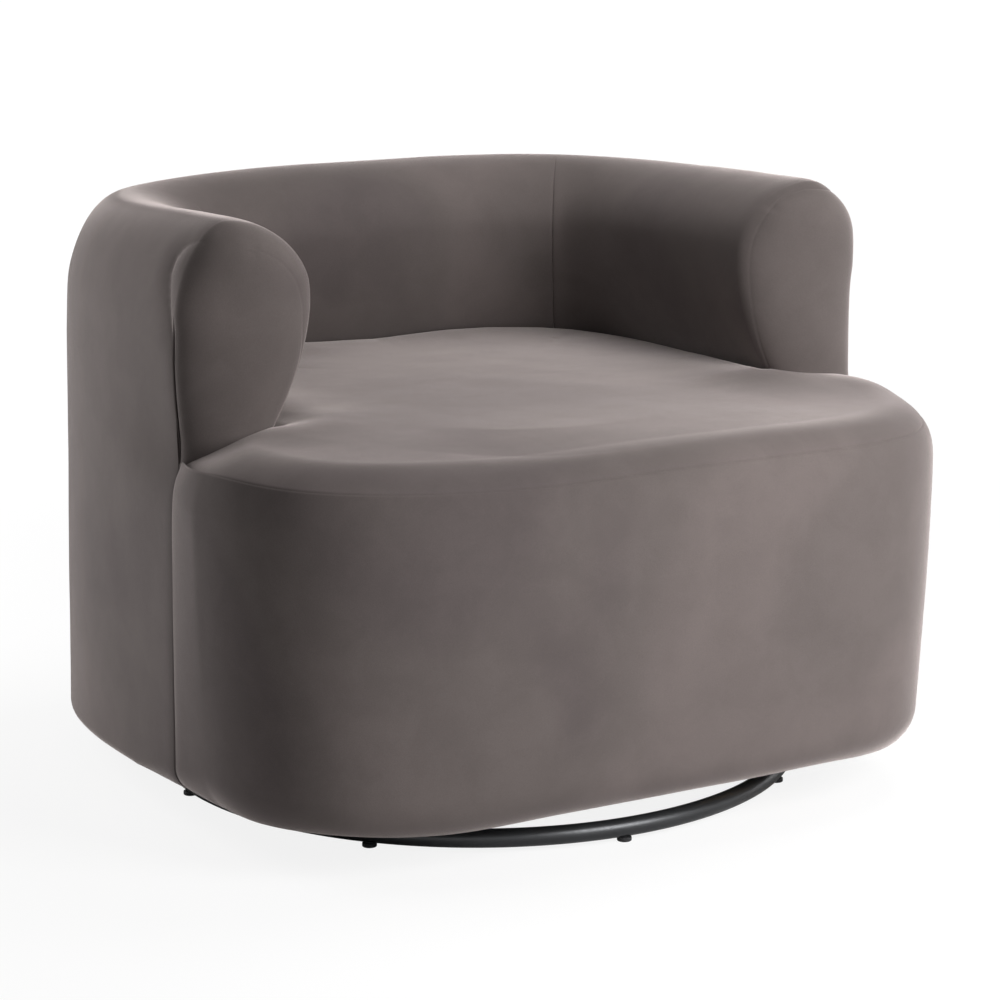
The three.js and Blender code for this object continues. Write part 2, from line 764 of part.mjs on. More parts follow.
// Swivel: a dished lower plate on the bars and a flat upper one bolted to the body, which run on
// caged balls and are held by a headed pin and its nut
function makeSwivel() {
  const holeRadius = pinDiameter / 2 + pinRunningGap;
  const lowerBottom = barTop + fitGap;
  const lower = [
    [pinDiameter / 2 + fitGap, lowerPlateTop - plateThickness],
    [lowerPlateRadius - plateThickness, lowerPlateTop - plateThickness],
    [lowerPlateRadius - plateThickness, lowerBottom],
    [lowerPlateRadius, lowerBottom],
    [lowerPlateRadius, lowerPlateTop + lowerPlateLip],
    [lowerPlateRadius - plateThickness, lowerPlateTop + lowerPlateLip],
    [lowerPlateRadius - plateThickness, lowerPlateTop],
    [pinDiameter / 2 + fitGap, lowerPlateTop],
  ];
  addPart("swivel_lower_plate", toGeometry(toSolid(turned(lower, plateSegments))), zincSteel());

  const upper = [
    [holeRadius, upperPlateBottom],
    [upperPlateRadius - plateThickness, upperPlateBottom],
    [upperPlateRadius - plateThickness, upperPlateBottom - upperPlateSkirt],
    [upperPlateRadius, upperPlateBottom - upperPlateSkirt],
    [upperPlateRadius, upperPlateTop],
    [holeRadius, upperPlateTop],
  ];
  let upperPlate = toSolid(turned(upper, plateSegments));
  for (let i = 0; i < boltCount; i += 1) {
    const [x, y] = spot(boltCircleRadius, i, boltCount);
    const radius = boltDiameter / 2 + boltHoleGap;
    const hole = upright(radius, upperPlateBottom - overrun, baseBoardTop, smallSegments, x, y);
    upperPlate = upperPlate.subtract(toSolid(hole));
  }
  addPart("swivel_upper_plate", toGeometry(upperPlate), zincSteel());

  const cageRadius = cageWidth / 2;
  let cage = toSolid(
    turned(
      [
        [ballTrackRadius - cageRadius, ballHeight - cageThickness / 2],
        [ballTrackRadius + cageRadius, ballHeight - cageThickness / 2],
        [ballTrackRadius + cageRadius, ballHeight + cageThickness / 2],
        [ballTrackRadius - cageRadius, ballHeight + cageThickness / 2],
      ],
      plateSegments
    )
  );
  for (let i = 0; i < ballCount; i += 1) {
    const [x, y] = spot(ballTrackRadius, i, ballCount);
    const ball = new THREE.SphereGeometry(ballDiameter / 2, ballSegments, ballSegments);
    cage = cage.add(toSolid(ball.rotateX(Math.PI / 2).translate(x, y, ballHeight)));
  }
  addPart("ball_cage", toGeometry(cage), nylon());

  const headTop = barBottom - fitGap;
  const nutBottom = upperPlateTop + fitGap;
  const nutTop = nutBottom + nutHeight;
  const pin = [
    [0, headTop - pinHeadThickness],
    [pinHeadWidth / 2, headTop - pinHeadThickness],
    [pinHeadWidth / 2, headTop],
    [pinDiameter / 2, headTop],
    [pinDiameter / 2, nutTop],
    [0, nutTop],
  ];
  addPart("pivot_pin", toGeometry(toSolid(turned(pin, smallSegments))), zincSteel());
  const nut = toSolid(upright(nutWidth / 2, nutBottom, nutTop, nutSides));
  const bore = toSolid(upright(pinDiameter / 2 + fitGap, nutBottom - overrun, nutTop + overrun));
  addPart("pivot_nut", toGeometry(nut.subtract(bore)), zincSteel());

  for (let i = 0; i < boltCount; i += 1) {
    const [x, y] = spot(boltCircleRadius, i, boltCount);
    const headHeight = upperPlateBottom - fitGap;
    const bolt = [
      [0, headHeight - boltHeadThickness],
      [boltHeadWidth / 2, headHeight - boltHeadThickness],
      [boltHeadWidth / 2, headHeight],
      [boltDiameter / 2, headHeight],
      [boltDiameter / 2, baseBoardTop],
      [0, baseBoardTop],
    ];
    const geometry = turned(bolt, boreSegments).translate(x, y, 0);
    addPart(`swivel_bolt_${i + 1}`, toGeometry(toSolid(geometry)), zincSteel());
  }
}

// Timber frame: base board, deck, top rail and the thin boards that close the wall and the front
function makeTimberFrame() {
  const holes = [roundHole(nutWellDiameter / 2, 0, 0)];
  for (let i = 0; i < boltCount; i += 1) {
    holes.push(roundHole(boltDiameter / 2 + boltHoleGap, ...spot(boltCircleRadius, i, boltCount)));
  }
  const baseOutline = planOutline(postOuter, frontBoardInner - fitGap);
  addPart("base_board", board(baseOutline, baseBoardBottom, plyThickness, holes), ply());

  const openingMiddle = (deckOpeningBack + deckOpeningFront) / 2;
  const openingHalfDepth = (deckOpeningBack - deckOpeningFront) / 2;
  const opening = roundHole(
    deckOpeningRound,
    0,
    openingMiddle,
    deckOpeningHalfWidth,
    openingHalfDepth
  );
  const deckOutline = planOutline(deckEdge, deckEdge);
  addPart("deck_frame", board(deckOutline, deckHeight, plyThickness, [opening]), ply());

  const rail = bandSection(postOuter, postInner, railHeight, railTop);
  addPart("top_rail", sweep(wallRun, rail), ply());
  const outer = bandSection(wallFrameOuter, wallFrameOuter - boardThickness, baseBoardBottom, railTop);
  addPart("outer_board", sweep(wallRun, outer), hardboard());
  const inner = bandSection(innerBoardOuter, innerBoardInner, deckTop + fitGap, railTop);
  addPart("inner_board", sweep(wallRun, inner), hardboard());
  const border = bandSection(-frontFrameInset, frontBoardInner, baseBoardBottom, deckTop);
  addPart("front_board", sweep(frontRun, border), hardboard());
}

// Posts of the wall, square to its face, and three short posts under the front of the deck
function makePosts() {
  const outerFace = postOuter - postSideRoom;
  const bottom = baseBoardTop + fitGap;
  const addPost = (name, top, station, outer, inner) => {
    const post = box(outer - inner, postWidth, top - bottom).translate((outer + inner) / 2, 0, 0);
    post.rotateZ(Math.atan2(station.ny, station.nx));
    post.translate(station.x, station.y, (top + bottom) / 2);
    addPart(name, post, ply());
  };
  const reach = frameEnd - postEndRoom - postWidth / 2;
  evenly(-reach, reach, wallPostCount).forEach((length, i) => {
    addPost(`wall_post_${i + 1}`, railHeight - fitGap, stationAt(length), outerFace, postInner);
  });
  const middle = outlineLength / 2;
  for (let i = 0; i < frontPostCount; i += 1) {
    const length = middle + frontPostPitch * (i - (frontPostCount - 1) / 2);
    const outer = frontBoardInner - fitGap - postSideRoom;
    addPost(`front_post_${i + 1}`, deckHeight - fitGap, stationAt(length), outer, outer - railDepth);
  }
}

// Seat suspension: zigzag springs from the front of the deck to its back, with a felt pad on them
class ZigzagCurve extends THREE.Curve {
  constructor(x) {
    super();
    this.x = x;
  }
  getPoint(share, target = new THREE.Vector3()) {
    const swing = springSwing * Math.cos(2 * Math.PI * springWaves * share);
    const y = springFront + (springBack - springFront) * share;
    return target.set(this.x + swing, y, springHeight);
  }
}

// Springs, the strips that clip them to the deck, and the pad
function makeSuspension() {
  const wire = new THREE.Shape(
    evenly(0, 2 * Math.PI, springSides + 1)
      .slice(0, -1)
      .map((angle) => new THREE.Vector2(Math.cos(angle), Math.sin(angle)))
      .map((point) => point.multiplyScalar(springWire / 2))
  );
  for (let i = 0; i < springCount; i += 1) {
    const extrudePath = new ZigzagCurve(springPitch * i - springHalfSpan);
    const settings = { steps: springWaves * springStepsPerWave, extrudePath };
    const spring = toGeometry(toSolid(new THREE.ExtrudeGeometry(wire, settings)));
    addPart(`seat_spring_${i + 1}`, spring, springSteel());
  }
  const stripLength = 2 * (springHalfSpan + springSwing + clipStripOverhang);
  const stripHeight = deckTop + fitGap + clipStripThickness / 2;
  const addStrip = (name, y) => {
    const strip = box(stripLength, clipStripWidth, clipStripThickness).translate(0, y, stripHeight);
    addPart(name, strip, springSteel());
  };
  addStrip("spring_rail_front", springFront + clipStripWidth / 4);
  addStrip("spring_rail_back", springBack - clipStripWidth / 4);
  const padWidth = 2 * (springHalfSpan + padSideMargin);
  const padDepth = springBack - springFront + 2 * padEndMargin;
  const pad = box(padWidth, padDepth, padThickness);
  pad.translate(0, (springBack + springFront) / 2, (padBottom + padTop) / 2);
  addPart("spring_pad", pad, felt());
}

// Black cloth under the base board, round the swivel plates
function makeDustCover() {
  const outline = planOutline(-wallHem - fitGap, -frontHem - fitGap);
  const bottom = baseBoardBottom - fitGap - dustCoverThickness;
  const cover = board(outline, bottom, dustCoverThickness, [roundHole(dustCoverHole, 0, 0)]);
  addPart("dust_cover", cover, blackCloth());
}

// Upholstery
const seamStations = [
  ["left", stationAt(leftArmFront), -1],
  ["right", stationAt(rightArmFront), 1],
];
const armRun = (side, backEnd, frontEndLength) =>
  side > 0 ? run(backEnd, frontEndLength) : run(-frontEndLength, -backEnd);
const halfGap = fitGap / 2;
const beyondWall = toSolid(
  sweep(run(leftArmFront - fitGap, rightArmFront + fitGap), beyondWallSection)
);
const aboveSeat = domedSeat(-fitGap, seatSeamHeight - overrun);

// Foam: one piece for the back, each arm, the front border and the seat
function makeFoam() {
  const backFoam = sweep(run(leftBackSeam + halfGap, rightBackSeam - halfGap), wallFoamSection);
  addPart("back_foam", backFoam, foam());
  for (const [name, station, side] of seamStations) {
    const wall = sweep(armRun(side, rightBackSeam + halfGap, rightArmFront), wallFoamSection);
    const nose = armNose(station, side, foamDepth, armPlug).subtract(aboveSeat);
    addPart(`${name}_arm_foam`, toGeometry(toSolid(wall).add(nose)), foam());
  }
  addPart("front_foam", sweep(frontRun, borderFoamSection), foam());
  const seat = domedSeat(foamDepth, seatFoamBottom).subtract(beyondWall);
  addPart("seat_foam", toGeometry(seat), foam());
}

// Covers: thin shells over the foam, each ending at its seams
function makeCovers() {
  const back = run(leftBackSeam + halfGap, rightBackSeam - halfGap);
  addPart("back_cover", sweep(back, wallCoverSection), velvet());
  for (const [name, station, side] of seamStations) {
    const arm = armRun(side, rightBackSeam + halfGap, rightArmFront - fitGap);
    addPart(`${name}_arm_cover`, sweep(arm, wallCoverSection), velvet());
    const hollow = armNose(station, side, coverThickness, overrun);
    const front = armNose(station, side, 0, 0).subtract(hollow).subtract(aboveSeat);
    addPart(`${name}_arm_front_cover`, toGeometry(front), velvet());
  }
  addPart("front_border_cover", sweep(frontRun, borderCoverSection), velvet());
  const hollow = domedSeat(coverThickness, seatSeamHeight - overrun);
  const top = domedSeat(0, seatSeamHeight + halfGap).subtract(hollow).subtract(beyondWall);
  addPart("seat_top_cover", toGeometry(top), velvet());
}

makeBaseRing();
makeCrossBars();
makeGlides();
makeSwivel();
makeTimberFrame();
makePosts();
makeSuspension();
makeDustCover();
makeFoam();
makeCovers();

export default chair;
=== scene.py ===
import math
import json
import bpy
import bmesh
import numpy as np
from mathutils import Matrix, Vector, noise


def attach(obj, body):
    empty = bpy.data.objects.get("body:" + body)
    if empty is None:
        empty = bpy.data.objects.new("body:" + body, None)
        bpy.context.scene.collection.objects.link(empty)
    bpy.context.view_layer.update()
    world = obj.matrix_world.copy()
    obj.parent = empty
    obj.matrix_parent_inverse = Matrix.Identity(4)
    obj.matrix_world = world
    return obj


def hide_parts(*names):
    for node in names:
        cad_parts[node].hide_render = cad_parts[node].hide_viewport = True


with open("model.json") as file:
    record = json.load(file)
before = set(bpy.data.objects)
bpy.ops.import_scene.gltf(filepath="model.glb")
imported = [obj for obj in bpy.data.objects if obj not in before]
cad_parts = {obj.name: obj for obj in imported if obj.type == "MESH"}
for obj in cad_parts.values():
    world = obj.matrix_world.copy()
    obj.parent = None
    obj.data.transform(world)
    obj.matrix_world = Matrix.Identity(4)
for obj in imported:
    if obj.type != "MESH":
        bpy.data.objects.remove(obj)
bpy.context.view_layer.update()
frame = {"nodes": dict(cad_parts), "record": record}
scene = bpy.context.scene
print("frame loaded")

tiny = 1e-12  # keeps divisions and corners of the outline clean

# body of the chair, metres, as the solids have it
body = {
    "halfWidth": 0.450,
    "backReach": 0.448,
    "frontReach": 0.436,
    "backSquareness": 3.4,
    "frontSquareness": 4.6,
    "armFrontY": -0.140,
    "backSeamX": 0.320,
    "bottom": 0.052,
    "seam": 0.446,
    "padBottom": 0.3195,
    "skin": 0.0025,
    "lean": 0.018,
    "waist": 0.345,
    "bulge": 0.0155,
    "widest": 0.400,
    "topEdge": 0.061,
    "topRise": 0.0665,
    "topFullness": 2.7,
    "bottomInset": 0.0145,
    "insetPower": 1.5,
    "bulgeRun": 0.090,
    "round": (0.010, 0.040),
    "roundFrom": -0.020,
    "roundRun": 0.200,
}
# where the cover is pulled in at the seam between arm and front
pinch = {"depth": 0.0105, "above": 0.042, "below": 0.020, "behind": 0.115, "ahead": 0.042}


# outline seen from above, walked from the middle of the back through +X
def outlineTable(perQuarter=4000):
    t = np.linspace(0, 1, perQuarter, endpoint=False)
    eased = t - np.sin(2 * np.pi * t) / (2 * np.pi)
    angle = np.concatenate([(q + eased) * np.pi / 2 for q in range(4)] + [[2 * np.pi]])
    s, c = np.sin(angle), np.cos(angle)
    s[np.abs(s) < tiny] = 0
    c[np.abs(c) < tiny] = 0
    power = 2 / np.where(c > 0, body["backSquareness"], body["frontSquareness"])
    reach = np.where(c > 0, body["backReach"], body["frontReach"])
    x = body["halfWidth"] * np.sign(s) * np.abs(s) ** power
    y = reach * np.sign(c) * np.abs(c) ** power
    length = np.concatenate([[0], np.cumsum(np.hypot(np.diff(x), np.diff(y)))])
    return x, y, length


outX, outY, outLength = outlineTable()
wholeLength = outLength[-1]


def outlineAt(length):
    wrapped = np.mod(length, wholeLength)
    x = np.interp(wrapped, outLength, outX)
    y = np.interp(wrapped, outLength, outY)
    power = np.where(y >= 0, body["backSquareness"], body["frontSquareness"])
    reach = np.where(y >= 0, body["backReach"], body["frontReach"])
    nx = np.sign(x) * (np.abs(x) / body["halfWidth"]) ** (power - 1) / body["halfWidth"]
    ny = np.sign(y) * (np.abs(y) / reach) ** (power - 1) / reach
    size = np.hypot(nx, ny)
    return x, y, nx / size, ny / size


firstHalf = outLength <= wholeLength / 2
backSeam = outLength[np.argmax((outX >= body["backSeamX"]) & firstHalf)]
armSeam = outLength[np.argmax((outY <= body["armFrontY"]) & firstHalf)]
seamSteps = np.array([0, 0.4, 0.8, 1.3, 1.9, 2.7, 3.8, 5.2, 7, 9.2, 12, 15.5, 20, 25, 31]) / 1000


def seamSpaced(start, end, step):  # lengths that lie close together beside both seams
    inner = np.linspace(start + seamSteps[-1], end - seamSteps[-1],
                        max(3, int((end - start) / step)))
    return np.concatenate([start + seamSteps[:-1], inner, (end - seamSteps[:-1])[::-1]])


def pinched(y, z):
    up = z - body["seam"]
    high = 1 / (1 + (up / np.where(up > 0, pinch["above"], pinch["below"])) ** 2)
    run = y - body["armFrontY"]
    along = np.exp(-(run / np.where(run > 0, pinch["behind"], pinch["ahead"])) ** 2)
    return pinch["depth"] * high * along


# share of a soft quarter round that is left at a share of its other side
def topEdge(part):
    return (1 - np.clip(part, 0, 1) ** body["topFullness"]) ** (1 / body["topFullness"])


# the seat's left front edge is creased at its seam, the rest rolls over it smoothly
crease = {"start": (-73, 12), "end": (-4, 34), "below": 1.5, "above": 1.9}


def creaseShare(x, y):
    turn = np.degrees(np.arctan2(x, -y))
    share = np.minimum(np.clip((turn - crease["start"][0]) / crease["start"][1], 0, 1),
                       np.clip((crease["end"][0] - turn) / crease["end"][1], 0, 1))
    return share * share * (3 - 2 * share)


# what the border stands further out under a creased seam
def creaseOffset(x, y, z):
    up = np.clip((z - body["widest"]) / (body["seam"] - body["widest"]), 0, 1)
    whole = body["bulge"] + body["topEdge"]
    smooth = (1 - topEdge((z - body["widest"]) / body["topRise"])) * whole
    atSeam = float(1 - topEdge((body["seam"] - body["widest"]) / body["topRise"])) * whole
    return creaseShare(x, y) * (smooth - atSeam * up ** crease["below"])


def sideOffset(y, z):  # how far the outer face stands from the outline
    leaning = -body["lean"] * (z - body["waist"])
    below = np.clip((body["widest"] - z) / (body["widest"] - body["bottom"]), 0, 1)
    over = topEdge((z - body["widest"]) / body["topRise"])
    front = (over * (body["bulge"] + body["topEdge"]) - body["topEdge"]
             - body["bottomInset"] * below ** body["insetPower"])
    blend = np.sqrt(np.clip((body["armFrontY"] - y) / body["bulgeRun"], 0, 1))
    return leaning + (front - leaning) * blend - pinched(y, z)


def bottomRound(y):
    share = np.clip((body["roundFrom"] - y) / body["roundRun"], 0, 1)
    return body["round"][0] + body["round"][1] * share


# hem under the body and the round corner above it, as offsets and heights
def bottomCorner(y, rows, hem):
    radius = bottomRound(y)[:, None]
    angle = np.linspace(0, np.pi / 2, rows[1])[None, :]
    z = body["bottom"] + radius * (1 - np.cos(angle))
    offset = sideOffset(y[:, None], z) - radius * (1 - np.sin(angle))
    share = np.linspace(0, 1, rows[0], endpoint=False)[None, :]
    hemOffset = -hem + (offset[:, :1] + hem) * share
    return (np.hstack([hemOffset, offset]),
            np.hstack([np.full_like(hemOffset, body["bottom"]), z]))


wall = {
    "backHeight": 0.687,
    "armHeight": 0.708,
    "backThickness": 0.181,
    "armThickness": 0.166,
    "outerRound": (0.066, 0.116),
    "innerRound": 0.082,
    "roundness": 1.86,
    "tuck": 0.066,
    "hem": 0.060,
    "frame": (-0.0217, -0.0689, 0.6003, 0.3083),
    "hemRows": (5, 11),
    "sideRows": 110,
    "roundRows": 52,
    "faceRows": 46,
    "step": 0.0055,
    "easing": 24,
    "easeFrom": 30,
    "easeTo": 6,
}


def crestAt(y):
    share = np.clip((y - body["armFrontY"]) / (body["backReach"] - body["armFrontY"]), 0, 1)
    return (wall["armHeight"] + (wall["backHeight"] - wall["armHeight"]) * share,
            wall["armThickness"] + (wall["backThickness"] - wall["armThickness"]) * share)


# the outer and the inner round of the wall's top, from its sides to its crest
def wallRounds(y, rows):
    crest, thickness = (v[:, None] for v in crestAt(y))
    angle = np.linspace(0, np.pi / 2, rows)[None, :]
    power = 2 / wall["roundness"]
    inwards = 1 - np.maximum(np.cos(angle), 0) ** power
    upwards = np.sin(angle) ** power
    width, height = wall["outerRound"]
    outerZ = crest - height + height * upwards
    outer = (-body["lean"] * (outerZ - body["waist"]) - width * inwards
             - pinched(y[:, None], outerZ) * np.cos(angle))
    face = -body["lean"] * (crest - body["waist"]) - thickness
    innerZ = crest - wall["innerRound"] * (1 - upwards)
    inner = face + (thickness - width) * inwards
    return (outer, outerZ), (inner, innerZ)


# offset of the wall's inner face under its round, tucked outwards towards the seat
def innerFace(y, z):
    crest, thickness = crestAt(y)
    top = crest - wall["innerRound"]
    down = np.clip((top - z) / (top - body["seam"]), 0, 1)
    return -body["lean"] * (crest - body["waist"]) - thickness + wall["tuck"] * down ** 2


# offsets and heights of the wall's skin: hem, outside, crest, inside, down beside the seat
def wallSkin(y):
    low, lowZ = bottomCorner(y, wall["hemRows"], wall["hem"])
    (outer, outerZ), (inner, innerZ) = wallRounds(y, wall["roundRows"])
    share = np.linspace(0, 1, wall["sideRows"] + 2)[None, 1:-1]
    sideZ = lowZ[:, -1:] + (outerZ[:, :1] - lowZ[:, -1:]) * share
    side = sideOffset(y[:, None], sideZ)
    share = np.linspace(0, 1, wall["faceRows"] + 1)[None, 1:]
    faceZ = innerZ[:, :1] + (body["seam"] - innerZ[:, :1]) * share
    face = innerFace(y[:, None], faceZ)
    tuckZ = np.full_like(face[:, :1], wall["frame"][3])
    offset = np.hstack([low, side, outer, inner[:, -2::-1], face, face[:, -1:]])
    z = np.hstack([lowZ, sideZ, outerZ, innerZ[:, -2::-1], faceZ, tuckZ])
    first, last = low.shape[1] + wall["easeFrom"], offset.shape[1] - wall["easeTo"]
    for _ in range(wall["easing"]):
        for row in (offset, z):
            row[:, first:last] = (row[:, first - 1:last - 1] + 2 * row[:, first:last]
                                  + row[:, first + 1:last + 1]) / 4
    return offset, z


# grid of points from offsets and heights along the outline
def swept(length, offset, z):
    x, y, nx, ny = (v[:, None] for v in outlineAt(length))
    return np.stack([x + nx * offset, y + ny * offset, z + 0 * offset], axis=-1)


def gridNormals(grid, outwardSign):
    along = np.gradient(grid, axis=0)
    across = np.gradient(grid, axis=1)
    normal = np.cross(along, across) * outwardSign
    size = np.linalg.norm(normal, axis=-1, keepdims=True)
    return normal / np.maximum(size, tiny)


# slow unevenness of foam under cloth, the same field over all the pieces
unevenness = {"coarse": 0.0009, "fine": 0.00028, "coarseScale": 5.5, "fineScale": 17.0,
              "fineShift": (7, 3, 1)}


def soften(grid):
    shift = Vector(unevenness["fineShift"])
    lift = []
    for point in grid.reshape(-1, 3):
        spot = Vector(point)
        coarse = noise.noise(spot * unevenness["coarseScale"])
        fine = noise.noise(spot * unevenness["fineScale"] + shift)
        lift.append(unevenness["coarse"] * coarse + unevenness["fine"] * fine)
    return np.array(lift).reshape(grid.shape[:2])


# each seam's fine line and the soft valley that it lies in: depth and width of both
stitch = {
    "front": (0.0010, 0.0022, 0.0004, 0.010),
    "panel": (0.0012, 0.0028, 0.0014, 0.014),
    "corner": (0.0011, 0.0026, 0.0010, 0.014),
}
stitchShape = {"linePower": 1.5, "valleyPower": 1.4, "valleyFall": 2}


def seamDip(distance, kind, share=1.0):
    depth, width, valley, valleyWidth = stitch[kind]
    line = depth * np.clip(1 - distance / width, 0, 1) ** stitchShape["linePower"]
    fall = (distance / valleyWidth) ** stitchShape["valleyPower"] * stitchShape["valleyFall"]
    return share * (line + valley * np.exp(-fall))


startOfRoll = {"depth": 0.0028, "ahead": 0.014, "width": 0.020, "from": 0.60, "run": 0.06}


# the arm's top eases into the round of its nose
def rollDip(ahead, z):
    share = np.clip((z - startOfRoll["from"]) / startOfRoll["run"], 0, 1)
    gap = (ahead - startOfRoll["ahead"]) / startOfRoll["width"]
    return share * startOfRoll["depth"] * np.exp(-gap ** 2)


# distance of every point to a line of points, and the number of the line's nearest point
def lineDistance(points, line, block=1500, least=1e-18):
    found, index = np.empty(len(points)), np.empty(len(points), int)
    for i in range(0, len(points), block):
        part = points[i:i + block]
        gaps = ((part[:, None, :] - line[None, :, :]) ** 2).sum(axis=-1)
        near = gaps.argmin(axis=1)
        best = gaps[np.arange(len(part)), near]
        for other in (near - 1, near + 1):
            other = np.clip(other, 0, len(line) - 1)
            step = line[other] - line[near]
            size = np.maximum((step ** 2).sum(axis=1), least)
            share = np.clip(((part - line[near]) * step).sum(axis=1) / size, 0, 1)
            gap = ((part - line[near] - step * share[:, None]) ** 2).sum(axis=1)
            best = np.minimum(best, gap)
        found[i:i + block], index[i:i + block] = np.sqrt(best), near
    return found, index


meshing = {"weld": 0.00002, "smoothAngle": 50}


def meshPiece(name, points, faces, smoothAngle=meshing["smoothAngle"]):
    mesh = bpy.data.meshes.new(name)
    mesh.from_pydata([tuple(p) for p in settled(np.asarray(points, float))], [], faces)
    made = bpy.data.objects.new(name, mesh)
    scene.collection.objects.link(made)
    work = bmesh.new()
    work.from_mesh(mesh)
    bmesh.ops.remove_doubles(work, verts=work.verts, dist=meshing["weld"])
    bmesh.ops.recalc_face_normals(work, faces=work.faces)
    work.to_mesh(mesh)
    work.free()
    only(made)
    bpy.ops.object.shade_smooth_by_angle(angle=math.radians(smoothAngle))
    return made


def only(piece):
    bpy.ops.object.select_all(action="DESELECT")
    piece.select_set(True)
    bpy.context.view_layer.objects.active = piece


# hand upholstery wanders a few millimetres; each row is degrees round the chair from its front,
# then millimetres up at the front seam, the underside and the crest, and millimetres outwards
# at mid-height and near the top
handSewn = np.array([
    (-180, 0, 0, 2.7, 0, 0), (-168, 0, 0, 3.5, 0, 0), (-160, 0, 0, 2.3, 0, 0),
    (-152, 0, 0, 0.6, 0, 0), (-146, 0, 0, -2.2, 0.5, 0), (-140, 0, -2, -4.0, 1.0, 0),
    (-130, 0, -5, -6.5, 1.5, 0), (-120, 0, -8, -7.5, 2.5, 0), (-108, 0, -7, -6.5, 2.5, 0),
    (-96, 0, -3, -4.0, 2.5, 0), (-88, 0, 0, -2.0, 2.5, 0), (-80, -9.0, -0.5, -1.0, 2.0, 0),
    (-74, -8.0, -1.3, 0, 1.0, 0), (-66, -3.0, -7.0, 0, 0, 0), (-60, 2.0, -9.0, 0, 0, 0),
    (-55, 3.0, -6.5, 0, 0, 0), (-49, 2.0, -0.5, 0, 0, 0), (-44, 1.0, -0.5, 0, 0, 0),
    (-39, 0, -3.5, 0, 0, 0), (-33, -3.0, -8.0, 0, 0, 0), (-29, -4.5, -9.0, 0, 0, 0),
    (-24, -6.0, -7.0, 0, 0, 0), (-16, -7.5, -3.0, 0, 0, 0), (3, -3.0, 0, 0, 0, 0),
    (20, -1.4, 3.3, 0, 0, 0), (27, -1.0, 6.0, 0, 0, 0), (32, -1.6, 7.0, 0, 0, 0),
    (37, -2.3, 5.0, 0, 0, 0), (42, -3.0, 0, 0, 0, 0), (47, -2.5, -5.5, 0, 0, 0),
    (52, -1.5, -6.0, 0, 0, 3.0), (58, 0, -8, 0, -1.0, 7.0), (64, 0, -7, 0, -4.0, 8.5),
    (72, 0, -3, -1.5, -8.0, 8.0), (82, 0, 0, -2.3, -8.5, 5.0), (92, 0, 0, -3.0, -8.0, 1.5),
    (102, 0, 0, -4.4, -4.0, 0), (110, 0, 0, -6.2, -1.0, 0), (118, 0, 0, -6.4, 0, 0),
    (125, 0, 0, -6.0, 0, 0), (132, 0, 0, -4.8, 0, 0), (137, 0, 0, -2.5, 0, 0),
    (142, 0, 0, -0.7, 0, 0), (146, 0, 0, 0.8, 0, 0), (150, 0, 0, 1.6, 0, 0),
    (155, 0, 0, 2.6, 0, 0), (162, 0, 0, 3.6, 0, 0), (173, 0, 0, 3.2, 0, 0),
    (180, 0, 0, 2.7, 0, 0)])
sewnReach = {"seam": 0.055, "below": 0.120, "near": 0.10, "crestFrom": 0.56, "crestRun": 0.09,
             "middle": 0.535, "middleReach": 0.085, "upper": 0.665, "upperReach": 0.042,
             "smooth": 5, "samples": 9, "nearFrom": 0.30, "belowPower": 1.5,
             "sideTop": 0.62, "sideRun": 0.1, "leastRadius": 0.01}


def settled(points):
    turn = np.degrees(np.arctan2(points[:, 0], -points[:, 1]))
    around = np.linspace(-sewnReach["smooth"], sewnReach["smooth"], sewnReach["samples"])

    def wander(column):  # in metres, evened out over a few degrees
        found = [np.interp(turn + s, handSewn[:, 0], handSewn[:, column], period=360)
                 for s in around]
        return np.mean(found, axis=0) / 1000

    atSeam, below, crest, middle, upper = (wander(k) for k in range(1, 6))
    z = points[:, 2]
    radius = np.hypot(points[:, 0], points[:, 1])
    out = np.clip((radius - sewnReach["nearFrom"]) / sewnReach["near"], 0, 1)
    high = np.exp(-((z - body["seam"]) / sewnReach["seam"]) ** 2)
    low = np.clip(1 - (z - body["bottom"]) / sewnReach["below"], 0, 1) ** sewnReach["belowPower"]
    top = np.clip((z - sewnReach["crestFrom"]) / sewnReach["crestRun"], 0, 1)
    side = np.where(middle > 0, np.clip((sewnReach["sideTop"] - z) / sewnReach["sideRun"], 0, 1),
                    np.exp(-((z - sewnReach["middle"]) / sewnReach["middleReach"]) ** 2))
    nearTop = np.exp(-((z - sewnReach["upper"]) / sewnReach["upperReach"]) ** 2)
    outwards = (middle * side + upper * nearTop) * out
    moved = points.copy()
    moved[:, 2] += (atSeam * high + below * low) * out + crest * top * top * (3 - 2 * top)
    for k in (0, 1):
        moved[:, k] += outwards * points[:, k] / np.maximum(radius, sewnReach["leastRadius"])
    return moved


# faces of a grid whose point (r, c) is number r * columns + c
def gridFaces(rows, columns, closeColumns=False):
    faces = []
    last = columns if closeColumns else columns - 1
    for r in range(rows - 1):
        for c in range(last):
            a, b = r * columns + c, r * columns + (c + 1) % columns
            faces.append((a, b, b + columns, a + columns))
    return faces


# plus where the grid's own turn already points away from the chair's middle
def signOf(grid):
    middle = grid[grid.shape[0] // 2, grid.shape[1] // 4]
    n = gridNormals(grid, 1)[grid.shape[0] // 2, grid.shape[1] // 4]
    return float(np.dot(n[:2], middle[:2]))


